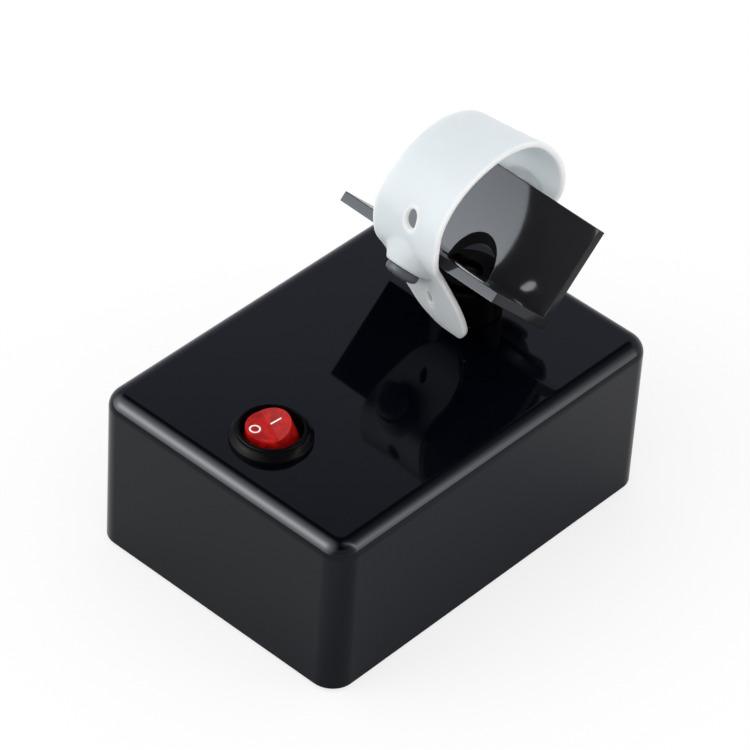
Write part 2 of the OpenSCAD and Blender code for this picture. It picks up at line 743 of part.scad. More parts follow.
// one point of the strap: s along, v across from -1 to 1, h off the middle surface
function strap_point(k, s, v, h) = let(p = on_course(k, s), n = outward(k, s), o = h + p[4] * strap_curl * v * v + p[5] * v)
  [p[0] + n[0] * o, p[2] + v * p[3], p[1] + n[1] * o];
function ring(k, s) = concat([for (v = across) strap_point(k, s, v, strap_t / 2)],
  [for (i = [len(across) - 1:-1:0]) strap_point(k, s, across[i], -strap_t / 2)]);

module strap_band() {
  k = course();
  n = (len(k) - 1) * per;
  m = 2 * len(across);
  pts = [for (i = [0:n]) each ring(k, i / per + (i == 0 ? 0.001 : 0) - (i == n ? 0.001 : 0))];
  sides = [for (i = [0:n - 1], j = [0:m - 1]) each
    [[i * m + j, i * m + (j + 1) % m, (i + 1) * m + (j + 1) % m],
     [i * m + j, (i + 1) * m + (j + 1) % m, (i + 1) * m + j]]];
  h = len(across);
  caps = [for (j = [0:h - 2]) each
    [[j, m - 1 - j, m - 2 - j], [j, m - 2 - j, j + 1],
     [n * m + j, n * m + m - 2 - j, n * m + m - 1 - j], [n * m + j, n * m + j + 1, n * m + m - 2 - j]]];
  polyhedron(points = pts, faces = concat(sides, caps), convexity = 8);
}

// hole through the strap at s, longer along the strap by stretch
module strap_hole(s, y, r, stretch) {
  p = on_course(course(), s);
  n = outward(course(), s);
  translate([p[0], y, p[1]]) rotate([0, 90 - atan2(n[1], n[0]), 0]) {
    for (i = [-1, 1]) translate([i * stretch / 2, 0, -6]) cylinder(r = r, h = 12, $fn = 24);
    if (stretch > 0) translate([-stretch / 2, -r, -6]) cube([stretch, 2 * r, 12]);
  }
}

module strap() {
  color("white") on_cradle() difference() {
    strap_band();
    strap_hole(6, peg_y, 2.3, 0.8);
    strap_hole(20, peg_y, 2.3, 0.8);
    strap_hole(8.77, peg_y - 1.25, 1.9, 2.4);
    strap_hole(3.1, -2.6, 0.9, 3.6);
  }
}

housing();
base_plate();
base_screws();
rubber_feet();
switch_body();
switch_rocker();
switch_terminals();
inlet_body();
inlet_pin();
inlet_nut();
inlet_tags();
feed_lead();
switched_lead();
return_lead();
standoffs();
standoff_screws();
motor_plate();
plate_screws();
motor_can();
motor_end_cap();
motor_tags();
motor_screws();
plate_bushes();
motor_shaft();
drive_eccentric();
grub_screw();
left_idler();
left_idler_clips();
right_idler();
right_idler_clips();
carriage();
pin_bearing();
carriage_bushes();
post();
cradle();
cradle_screw();
strap_pegs();
strap();
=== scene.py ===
"""Looks of the shaker for small nail varnish bottles.

A polished black box carries a round red switch and, on a post, a V-shaped cradle of smoked
sheet with a soft silicone strap over it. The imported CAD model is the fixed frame. This script
puts finer pieces over the shapes that show, gives every node its finish, and sets up the studio.
Lengths are in metres once a piece is finished; sizes are written in millimetres times MM.
"""

import json
import logging
import math
from dataclasses import dataclass, field
from enum import Enum
from typing import Callable, Iterable, Sequence

import bpy
from mathutils import Matrix, Vector


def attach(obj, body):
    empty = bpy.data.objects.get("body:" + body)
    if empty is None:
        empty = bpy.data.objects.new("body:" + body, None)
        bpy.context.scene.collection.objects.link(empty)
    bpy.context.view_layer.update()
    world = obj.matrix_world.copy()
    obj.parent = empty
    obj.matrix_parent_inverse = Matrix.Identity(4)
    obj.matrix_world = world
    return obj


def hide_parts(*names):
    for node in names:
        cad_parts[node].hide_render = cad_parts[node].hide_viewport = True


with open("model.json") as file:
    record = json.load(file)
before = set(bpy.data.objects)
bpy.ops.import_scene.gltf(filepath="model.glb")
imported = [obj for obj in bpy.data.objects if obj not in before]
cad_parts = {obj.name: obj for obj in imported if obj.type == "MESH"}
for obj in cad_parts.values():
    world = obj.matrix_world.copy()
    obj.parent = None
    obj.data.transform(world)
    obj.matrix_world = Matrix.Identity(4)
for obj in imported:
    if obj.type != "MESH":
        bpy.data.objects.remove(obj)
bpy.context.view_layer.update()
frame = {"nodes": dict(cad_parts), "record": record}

MM = 0.001
log = logging.getLogger("shaker")

Piece = bpy.types.Object
Nodes = bpy.types.NodeTree
Node = bpy.types.Node
Socket = bpy.types.NodeSocket
Pair = tuple[float, float]
Triple = tuple[float, float, float]
LYING = Matrix.Rotation(math.pi / 2, 4, "X")


class Body(Enum):
    """CAD bodies that a piece can ride on."""

    BOX = "box"
    ROCKER = "rocker"
    CARRIER = "carrier"


class Side(Enum):
    """The cradle's two legs: the front one leans to -X, the rear one to +X."""

    FRONT = -1
    REAR = 1


# ---- bench: the modelling moves ----


def deselect() -> None:
    """Leave nothing selected and no object active in edit mode."""
    bpy.ops.object.select_all(action="DESELECT")


def take(obj: Piece) -> Piece:
    """Select one object alone and make it the active one.

    Args:
        obj: the object to work on.

    Returns:
        The same object.
    """
    deselect()
    obj.select_set(True)
    bpy.context.view_layer.objects.active = obj
    return obj


def open_mesh(obj: Piece, mode: str = "VERT") -> None:
    """Go into edit mode on a piece with nothing selected.

    Args:
        obj: the piece.
        mode: what is selected there, VERT, EDGE or FACE.
    """
    take(obj)
    bpy.ops.object.mode_set(mode="EDIT")
    bpy.ops.mesh.select_mode(type=mode)
    bpy.ops.mesh.select_all(action="DESELECT")


def close_mesh() -> None:
    """Leave edit mode."""
    bpy.ops.object.mode_set(mode="OBJECT")


def seal(merge: float = 0) -> None:
    """Turn the open mesh's faces outwards and leave edit mode.

    Args:
        merge: vertices nearer to each other than this are merged first, or 0 for none.
    """
    bpy.ops.mesh.select_all(action="SELECT")
    if merge:
        bpy.ops.mesh.remove_doubles(threshold=merge)
    bpy.ops.mesh.normals_make_consistent(inside=False)
    close_mesh()


def pick(obj: Piece, kind: str, test: Callable[[list[Vector]], bool]) -> None:
    """Select a piece's edges or faces by the places of their vertices.

    Args:
        obj: the piece, in edit mode.
        kind: edges or polygons; the piece's select mode has to match.
        test: says of an edge's or face's places whether it is wanted.
    """
    bpy.ops.object.mode_set(mode="OBJECT")
    for part in getattr(obj.data, kind):
        part.select = test([obj.data.vertices[i].co for i in part.vertices])
    bpy.ops.object.mode_set(mode="EDIT")


def settle(obj: Piece, name: str = "") -> Piece:
    """Put a piece's turn, scale and place into its mesh, and name it.

    Args:
        obj: the piece.
        name: its name, or nothing to keep the one it has.

    Returns:
        The same piece, its object at the origin.
    """
    take(obj)
    bpy.ops.object.transform_apply(location=True, rotation=True, scale=True)
    if name:
        obj.name = name
        obj.data.name = name
    return obj


def block(name: str, low: Sequence[float], high: Sequence[float]) -> Piece:
    """A cube primitive at its size and place.

    Args:
        name: name of the new piece.
        low: lowest corner.
        high: highest corner.

    Returns:
        The new object.
    """
    deselect()
    middle = [(a + b) / 2 for a, b in zip(low, high)]
    bpy.ops.mesh.primitive_cube_add(size=1, location=middle)
    obj = bpy.context.object
    obj.scale = [b - a for a, b in zip(low, high)]
    return settle(obj, name)


def rod(name: str, radius: float, low: float, high: float, at: Pair = (0, 0), sides: int = 64) -> Piece:
    """An upright cylinder primitive at its size and place.

    Args:
        name: name of the new piece.
        radius: its radius.
        low: height of its lower end.
        high: height of its upper end.
        at: x and y of its middle.
        sides: how many flats stand for its round.

    Returns:
        The new object.
    """
    deselect()
    bpy.ops.mesh.primitive_cylinder_add(
        vertices=sides, radius=radius, depth=high - low, location=(at[0], at[1], (low + high) / 2))
    return settle(bpy.context.object, name)


def placed(obj: Piece, place: Matrix) -> Piece:
    """Move a finished shape to its place on the machine.

    Args:
        obj: the piece, modelled in its own frame.
        place: its own frame in the row frame.

    Returns:
        The same piece, its object at the origin.
    """
    obj.matrix_world = place
    bpy.context.view_layer.update()
    return settle(obj)


def drawn(name: str, outline: Sequence[Sequence[float]]) -> Piece:
    """An open line in the XZ plane, drawn point by point by extruding its last vertex.

    Args:
        name: name of the new piece.
        outline: x and z of each point.

    Returns:
        The new object, a chain of edges.
    """
    deselect()
    x, z = outline[0]
    bpy.ops.mesh.primitive_plane_add(size=1 * MM, location=(x, 0, z))
    obj = settle(bpy.context.object, name)
    open_mesh(obj)
    bpy.ops.mesh.select_all(action="SELECT")
    bpy.ops.mesh.merge(type="CENTER")
    for (ax, az), (bx, bz) in zip(outline, outline[1:]):
        bpy.ops.mesh.extrude_vertices_move(TRANSFORM_OT_translate={"value": (bx - ax, 0, bz - az)})
    close_mesh()
    return obj


def turned(name: str, outline: Sequence[Sequence[float]], steps: int = 96) -> Piece:
    """A round piece, spun about Z from half of its section.

    Args:
        name: name of the new piece.
        outline: x and z of each point of the section, from axis to axis.
        steps: how many steps the turn has.

    Returns:
        The new object, closed and facing outwards.
    """
    obj = drawn(name, outline)
    open_mesh(obj)
    bpy.ops.mesh.select_all(action="SELECT")
    bpy.ops.mesh.spin(steps=steps, angle=math.tau, center=(0, 0, 0), axis=(0, 0, 1))
    seal(0.002 * MM)
    return obj


def press(obj: Piece, kind: str, **settings: object) -> None:
    """Add a modifier to a piece and apply it.

    Args:
        obj: the piece.
        kind: the modifier's type.
        **settings: its settings.
    """
    take(obj)
    modifier = obj.modifiers.new(kind.lower(), kind)
    for key, value in settings.items():
        setattr(modifier, key, value)
    bpy.ops.object.modifier_apply(modifier=modifier.name)


def combine(obj: Piece, tools: Iterable[Piece], how: str = "DIFFERENCE") -> None:
    """Cut other shapes out of a piece, or join them to it, and throw them away.

    Args:
        obj: the piece.
        tools: the shapes that cut or join.
        how: DIFFERENCE or UNION.
    """
    for tool in tools:
        press(obj, "BOOLEAN", operation=how, solver="EXACT", object=tool)
        bpy.data.objects.remove(tool, do_unlink=True)


def soften(obj: Piece, width: float = 0, segments: int = 3) -> None:
    """Round a piece's sharp edges and shade it smooth with flat faces kept flat.

    Args:
        obj: the piece.
        width: how far back each edge is rounded, or 0 to leave the edges as they are.
        segments: how many faces go round an edge.
    """
    if width:
        press(obj, "BEVEL", width=width, segments=segments, limit_method="ANGLE",
              angle_limit=math.radians(35), use_clamp_overlap=True, miter_outer="MITER_ARC")
    take(obj)
    bpy.ops.object.shade_smooth_by_angle(angle=math.radians(40))
    press(obj, "WEIGHTED_NORMAL", keep_sharp=True, weight=60)


# ---- bench: shader nodes ----


def feed(tree: Nodes, node: Node, inputs: dict[str | int, object]) -> None:
    """Fill a node's inputs.

    Args:
        tree: the nodes that it belongs to.
        node: the node.
        inputs: for each input's name or number, a value or the socket that feeds it.
    """
    for key, value in inputs.items():
        if isinstance(value, Socket):
            tree.links.new(value, node.inputs[key])
        else:
            node.inputs[key].default_value = value


def wire(tree: Nodes, kind: str, inputs: dict[str | int, object] | None = None, **options: object) -> Node:
    """Add a shader node, set its options and fill its inputs.

    Args:
        tree: the nodes that it joins.
        kind: its type, without ShaderNode in front.
        inputs: for each input's name or number, a value or the socket that feeds it.
        **options: its other settings.

    Returns:
        The new node.
    """
    node = tree.nodes.new("ShaderNode" + kind)
    for key, value in options.items():
        setattr(node, key, value)
    feed(tree, node, inputs or {})
    return node


def calc(tree: Nodes, operation: str, *values: object, clamp: bool = False) -> Socket:
    """Add one sum and give its result.

    Args:
        tree: the nodes that it joins.
        operation: the sum's kind.
        *values: its numbers or the sockets that feed it.
        clamp: whether the result stays between 0 and 1.

    Returns:
        The result's socket.
    """
    return wire(tree, "Math", dict(enumerate(values)), operation=operation, use_clamp=clamp).outputs[0]


def blend(tree: Nodes, mask: object, first: object, second: object, **options: object) -> Socket:
    """Mix two colours by a mask.

    Args:
        tree: the nodes that it joins.
        mask: the mask's socket or number.
        first: colour where the mask is 0.
        second: colour where it is 1.
        **options: the mix node's other settings.

    Returns:
        The mixed colour's socket.
    """
    first, second = ((*c, 1) if isinstance(c, tuple) else c for c in (first, second))
    return wire(tree, "Mix", {0: mask, 6: first, 7: second}, data_type="RGBA", **options).outputs[2]


def start_group(name: str, inputs: dict[str, float | None], output: str,
                kind: str = "Float") -> tuple[Nodes, bpy.types.NodeOutputs, Socket]:
    """Start a node group with one output.

    Args:
        name: the group's name.
        inputs: each input's name with its number, or with None for a vector.
        output: the output's name.
        kind: the output's kind, Float or Vector.

    Returns:
        The group, the sockets that carry its inputs, and the socket that takes its result.
    """
    tree = bpy.data.node_groups.new(name, "ShaderNodeTree")
    for key, value in inputs.items():
        socket = "NodeSocketVector" if value is None else "NodeSocketFloat"
        made = tree.interface.new_socket(key, in_out="INPUT", socket_type=socket)
        if value is not None:
            made.default_value = value
    tree.interface.new_socket(output, in_out="OUTPUT", socket_type="NodeSocket" + kind)
    return tree, tree.nodes.new("NodeGroupInput").outputs, tree.nodes.new("NodeGroupOutput").inputs[0]


# ---- shared effects ----


class Effects:
    """Node groups that the finishes share. Each gives a varying value or normal and nothing else."""

    def __init__(self) -> None:
        """Make the groups once."""
        self.mottle = self._mottle()
        self.relief = self._relief()
        self.scuffs = self._scuffs()

    @staticmethod
    def _mottle() -> Nodes:
        """Soft cloudy mask from 0 to 1, as in moulded or rolled stock.

        Returns:
            The group.
        """
        tree, given, result = start_group("cloudy_mask", {"Vector": None, "Scale": 40, "Contrast": 1}, "Mask")
        cloud = wire(tree, "TexNoise", {
            "Vector": given["Vector"], "Scale": given["Scale"], "Detail": 4, "Roughness": 0.55})
        centred = calc(tree, "SUBTRACT", cloud.outputs["Fac"], 0.5)
        tree.links.new(calc(tree, "MULTIPLY_ADD", centred, given["Contrast"], 0.5, clamp=True), result)
        return tree

    @staticmethod
    def _relief() -> Nodes:
        """Bumped normal from a fine grain.

        Returns:
            The group.
        """
        tree, given, result = start_group(
            "grain_relief", {"Vector": None, "Scale": 900, "Height": 0.01 * MM}, "Normal", "Vector")
        grain = wire(tree, "TexNoise", {"Vector": given["Vector"], "Scale": given["Scale"], "Detail": 3})
        bump = wire(tree, "Bump", {
            "Strength": 1, "Height": grain.outputs["Fac"], "Distance": given["Height"]})
        tree.links.new(bump.outputs["Normal"], result)
        return tree

    @staticmethod
    def _scuffs() -> Nodes:
        """Thin mask of handling marks: long fine lines that come and go.

        Returns:
            The group.
        """
        tree, given, result = start_group("fine_scuffs", {"Vector": None, "Scale": 60, "Amount": 0.5}, "Mask")
        stretch = wire(tree, "Mapping", {
            "Vector": given["Vector"], "Rotation": (0.3, 0.5, 0.8), "Scale": (1, 14, 1)})
        lines = wire(tree, "TexNoise", {
            "Vector": stretch.outputs["Vector"], "Scale": given["Scale"], "Detail": 2})
        thin = wire(tree, "MapRange", {"Value": lines.outputs["Fac"], "From Min": 0.62, "From Max": 0.74})
        tree.links.new(calc(tree, "MULTIPLY", thin.outputs["Result"], given["Amount"]), result)
        return tree


EFFECTS = Effects()


# ---- finishes ----


class Stuff(Enum):
    """What a finish is made of, which settles how its shader behaves."""

    PLASTIC = "plastic"
    METAL = "metal"
    RUBBER = "rubber"


@dataclass(frozen=True)
class Finish:
    """One procedural finish: two close colours mottled together, a wandering roughness and a relief."""

    name: str
    stuff: Stuff
    colour: Triple
    second: Triple
    rough: Pair
    mottle_scale: float = 60
    contrast: float = 3
    relief_scale: float = 900
    relief: float = 0.004 * MM
    specular: float = 0.5
    scuffs: float = 0.0
    stretch: Triple = (1, 1, 1)
    sheen_tint: Triple = (1.0, 1.0, 1.0)

    def make(self) -> bpy.types.Material:
        """Build the whole material.

        Returns:
            The material.
        """
        material = bpy.data.materials.new(self.name)
        material.use_nodes = True
        tree = material.node_tree
        body = tree.nodes["Principled BSDF"]
        corner = wire(tree, "TexCoord").outputs["Object"]
        place = wire(tree, "Mapping", {"Vector": corner, "Scale": self.stretch}).outputs["Vector"]
        cloud = self.effect(tree, EFFECTS.mottle, place, Scale=self.mottle_scale, Contrast=self.contrast)
        low, high = self.rough
        rough = wire(tree, "MapRange", {"Value": cloud, "To Min": low, "To Max": high}).outputs["Result"]
        if self.scuffs:
            rough = calc(tree, "ADD", rough, self.effect(tree, EFFECTS.scuffs, place, Amount=self.scuffs))
        feed(tree, body, {
            "Base Color": blend(tree, cloud, self.colour, self.second), "Roughness": rough,
            "Metallic": float(self.stuff is Stuff.METAL), "Specular IOR Level": self.specular,
            "Specular Tint": (*self.sheen_tint, 1)})
        if self.stuff is Stuff.RUBBER:
            feed(tree, body, {"Sheen Weight": 0.15, "Sheen Roughness": 0.5})
        if self.relief:
            grain = self.effect(tree, EFFECTS.relief, place, Scale=self.relief_scale, Height=self.relief)
            feed(tree, body, {"Normal": grain})
        self.refine(tree, body, place)
        return material

    @staticmethod
    def effect(tree: Nodes, group: Nodes, place: Socket, **numbers: float) -> Socket:
        """Add one of the shared effects to a material.

        Args:
            tree: the material's nodes.
            group: the shared effect.
            place: the socket that places the pattern.
            **numbers: the effect's numbers by socket name.

        Returns:
            The effect's result.
        """
        return wire(tree, "Group", {"Vector": place, **numbers}, node_tree=group).outputs[0]

    def refine(self, tree: Nodes, body: Node, place: Socket) -> None:
        """Add what only one finish has. The plain finish has nothing more.

        Args:
            tree: the material's nodes.
            body: its Principled node.
            place: the socket that places the pattern.
        """


@dataclass(frozen=True)
class Lens(Finish):
    """Clear red moulding with fine ribs: light goes some way into it."""

    rib_turn: float = math.radians(22)
    rib_scale: float = 600
    rib_height: float = 0.02 * MM

    def refine(self, tree: Nodes, body: Node, place: Socket) -> None:
        """Let light into the moulding and rib it.

        Args:
            tree: the material's nodes.
            body: its Principled node.
            place: the socket that places the pattern.
        """
        across = wire(tree, "Mapping", {"Vector": place, "Rotation": (0, 0, self.rib_turn)})
        ribs = wire(tree, "TexWave", {"Vector": across.outputs["Vector"], "Scale": self.rib_scale})
        bump = wire(tree, "Bump", {"Height": ribs.outputs["Fac"], "Strength": 1, "Distance": self.rib_height})
        feed(tree, body, {
            "Subsurface Weight": 0.55, "Subsurface Radius": (1.0, 0.12, 0.1), "Subsurface Scale": 3 * MM,
            "IOR": 1.49, "Normal": bump.outputs["Normal"]})


@dataclass(frozen=True)
class Sheet(Finish):
    """Heat-bent sheet: its faces bow a little, which shades the light they mirror."""

    foot: float = 66 * MM
    bow: float = 3.0

    def refine(self, tree: Nodes, body: Node, place: Socket) -> None:
        """Tilt the mirrored light more and more up the legs.

        Args:
            tree: the material's nodes.
            body: its Principled node.
            place: the socket that places the pattern.
        """
        height = wire(tree, "SeparateXYZ", {"Vector": place}).outputs["Z"]
        above = calc(tree, "SUBTRACT", height, self.foot)
        curve = calc(tree, "MULTIPLY", above, above)
        bump = wire(tree, "Bump", {"Height": curve, "Strength": 1, "Distance": self.bow}, invert=True)
        feed(tree, body, {"Normal": bump.outputs["Normal"]})


@dataclass(frozen=True)
class Silicone(Finish):
    """Milky silicone: light spreads in it, its thin rims carry a painted glow paler than its flat faces, and
    it is painted dark where mirrored.
    """

    # painted glow of the thin rims, mixed over the base colour by the rim attribute
    rim: Triple = (0.93, 0.95, 0.96)
    # painted reflection: the colour glossy rays see on the strap, darkened so its mirror image stays dark
    painted_mirror_shade: Triple = (0.02, 0.022, 0.025)

    def refine(self, tree: Nodes, body: Node, place: Socket) -> None:
        """Spread the light, paint a pale glow on the rims by the strap's own rim attribute, and paint its
        mirror image dark.

        Args:
            tree: the material's nodes.
            body: its Principled node.
            place: the socket that places the pattern.
        """
        flat = body.inputs["Base Color"].links[0].from_socket
        rim = wire(tree, "Attribute", attribute_name="rim").outputs["Fac"]
        mirrored = wire(tree, "LightPath").outputs["Is Glossy Ray"]
        feed(tree, body, {
            "Base Color": blend(tree, mirrored, blend(tree, rim, flat, self.rim), self.painted_mirror_shade),
            "Subsurface Weight": 0.9, "Subsurface Radius": (1.0, 1.0, 1.0), "Subsurface Scale": 6 * MM,
            "IOR": 1.41})


FINISHES: dict[str, Finish] = {
    "gloss_black": Finish(
        "polished_black_moulding", Stuff.PLASTIC,
        (0.0006, 0.001, 0.0026), (0.0009, 0.0014, 0.0031), (0.045, 0.075),
        mottle_scale=25, contrast=2, relief_scale=420, relief=0.0006 * MM, specular=0.195, scuffs=0.02,
        sheen_tint=(0.92, 0.95, 1.0)),
    "base_grey": Finish(
        "spark_grained_base", Stuff.PLASTIC, (0.026, 0.027, 0.029), (0.036, 0.036, 0.038), (0.48, 0.6),
        relief_scale=2600, relief=0.05 * MM, scuffs=0.1),
    "zinc_steel": Finish(
        "zinc_plated_steel", Stuff.METAL, (0.60, 0.61, 0.63), (0.70, 0.70, 0.69), (0.24, 0.38),
        mottle_scale=160, contrast=4, relief_scale=1500, relief=0.006 * MM, scuffs=0.15),
    "foot_rubber": Finish(
        "moulded_foot_rubber", Stuff.RUBBER, (0.016, 0.016, 0.017), (0.028, 0.027, 0.027), (0.66, 0.8),
        relief_scale=1800, relief=0.03 * MM, specular=0.35),
    "matt_black": Finish(
        "satin_black_nylon", Stuff.PLASTIC, (0.0012, 0.0012, 0.0014), (0.0026, 0.0026, 0.0028), (0.2, 0.3),
        mottle_scale=110, relief_scale=2400, relief=0.01 * MM, specular=0.03, scuffs=0.05),
    "black_oxide": Finish(
        "blackened_steel", Stuff.PLASTIC, (0.0015, 0.0015, 0.0017), (0.003, 0.003, 0.003), (0.34, 0.5),
        mottle_scale=300, relief_scale=1800, relief=0.01 * MM, specular=0.05, scuffs=0.1),
    "red_lens": Lens(
        "clear_red_moulding", Stuff.PLASTIC, (0.50, 0.009, 0.007), (0.30, 0.004, 0.004), (0.14, 0.24),
        mottle_scale=420, contrast=5, relief=0, specular=0.18),
    "brass": Finish(
        "stamped_brass", Stuff.METAL, (0.74, 0.56, 0.24), (0.82, 0.66, 0.36), (0.22, 0.4),
        mottle_scale=220, contrast=4, scuffs=0.2),
    "nickel": Finish(
        "nickel_plate", Stuff.METAL, (0.66, 0.63, 0.57), (0.74, 0.71, 0.66), (0.14, 0.26),
        mottle_scale=200, contrast=3, scuffs=0.1),
    "red_insulation": Finish(
        "red_wire_insulation", Stuff.PLASTIC, (0.50, 0.018, 0.014), (0.58, 0.03, 0.02), (0.3, 0.42),
        mottle_scale=300, relief_scale=1200, relief=0.01 * MM),
    "black_insulation": Finish(
        "black_wire_insulation", Stuff.PLASTIC, (0.010, 0.010, 0.011), (0.02, 0.02, 0.02), (0.32, 0.45),
        mottle_scale=300, relief_scale=1200, relief=0.01 * MM),
    "motor_steel": Finish(
        "drawn_motor_can", Stuff.METAL, (0.56, 0.57, 0.58), (0.64, 0.64, 0.63), (0.26, 0.4),
        mottle_scale=90, stretch=(1, 1, 9), relief_scale=700, relief=0.008 * MM, scuffs=0.2),
    "end_cap_nylon": Finish(
        "white_nylon", Stuff.PLASTIC, (0.72, 0.70, 0.64), (0.80, 0.78, 0.72), (0.42, 0.55),
        relief_scale=1500, relief=0.02 * MM),
    "bronze": Finish(
        "sintered_bronze", Stuff.METAL, (0.48, 0.31, 0.14), (0.60, 0.42, 0.22), (0.4, 0.58),
        mottle_scale=700, contrast=5, relief_scale=3000, relief=0.03 * MM),
    "shaft_steel": Finish(
        "ground_steel", Stuff.METAL, (0.50, 0.51, 0.53), (0.60, 0.60, 0.61), (0.16, 0.3),
        mottle_scale=120, stretch=(1, 1, 12), relief_scale=900, relief=0.003 * MM, scuffs=0.1),
    "carriage_aluminium": Finish(
        "tumbled_aluminium", Stuff.METAL, (0.74, 0.75, 0.76), (0.82, 0.82, 0.82), (0.34, 0.5),
        mottle_scale=140, relief_scale=1600, relief=0.02 * MM, scuffs=0.15),
    "smoked_sheet": Sheet(
        "smoked_polished_sheet", Stuff.PLASTIC, (0.018, 0.018, 0.0195), (0.024, 0.024, 0.026), (0.05, 0.1),
        mottle_scale=45, contrast=2, relief=0, specular=0.14, scuffs=0.04,
        sheen_tint=(0.86, 0.93, 1.0)),
    "peg_grey": Finish(
        "violet_grey_moulding", Stuff.PLASTIC, (0.085, 0.09, 0.108), (0.105, 0.108, 0.125), (0.24, 0.36),
        mottle_scale=260, relief_scale=1500, relief=0.006 * MM, specular=0.12, scuffs=0.08),
    "milky_silicone": Silicone(
        "milky_silicone", Stuff.RUBBER, (0.66, 0.73, 0.765), (0.70, 0.765, 0.8), (0.36, 0.5),
        mottle_scale=70, contrast=2, relief_scale=1100, relief=0.01 * MM, specular=0.4),
    "white_print": Finish(
        "white_print", Stuff.PLASTIC, (0.88, 0.87, 0.86), (0.94, 0.93, 0.92), (0.4, 0.55),
        mottle_scale=900, relief_scale=2500, relief=0.01 * MM),
}


class Paintshop:
    """Makes each finish once and puts it on pieces and nodes."""

    def __init__(self) -> None:
        """Start with no finish made."""
        self.made: dict[str, bpy.types.Material] = {}

    def finish(self, slot: str) -> bpy.types.Material:
        """Give the material of a slot.

        Args:
            slot: the finish's key in FINISHES.

        Returns:
            Its material.
        """
        if slot not in self.made:
            self.made[slot] = FINISHES[slot].make()
        return self.made[slot]

    def coat(self, obj: Piece, slot: str) -> None:
        """Put one finish all over a piece or node.

        Args:
            obj: the piece or CAD node.
            slot: the finish's key.
        """
        if not obj.data.materials:
            obj.data.materials.append(None)
        for i in range(len(obj.data.materials)):
            obj.data.materials[i] = self.finish(slot)


def fit(piece: Piece, body: Body, slot: str, shop: Paintshop, *nodes: str) -> Piece:
    """Hand a finished piece to its body, its finish and the CAD nodes that it stands for.

    Args:
        piece: the finished piece.
        body: the body it rides on.
        slot: the finish's key.
        shop: where its material comes from.
        *nodes: the CAD nodes that it replaces.

    Returns:
        The same piece.
    """
    shop.coat(piece, slot)
    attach(piece, body.value)
    if nodes:
        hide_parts(*nodes)
    log.info("%s: %d faces on %s", piece.name, len(piece.data.polygons), body.value)
    return piece


# ---- the box ----


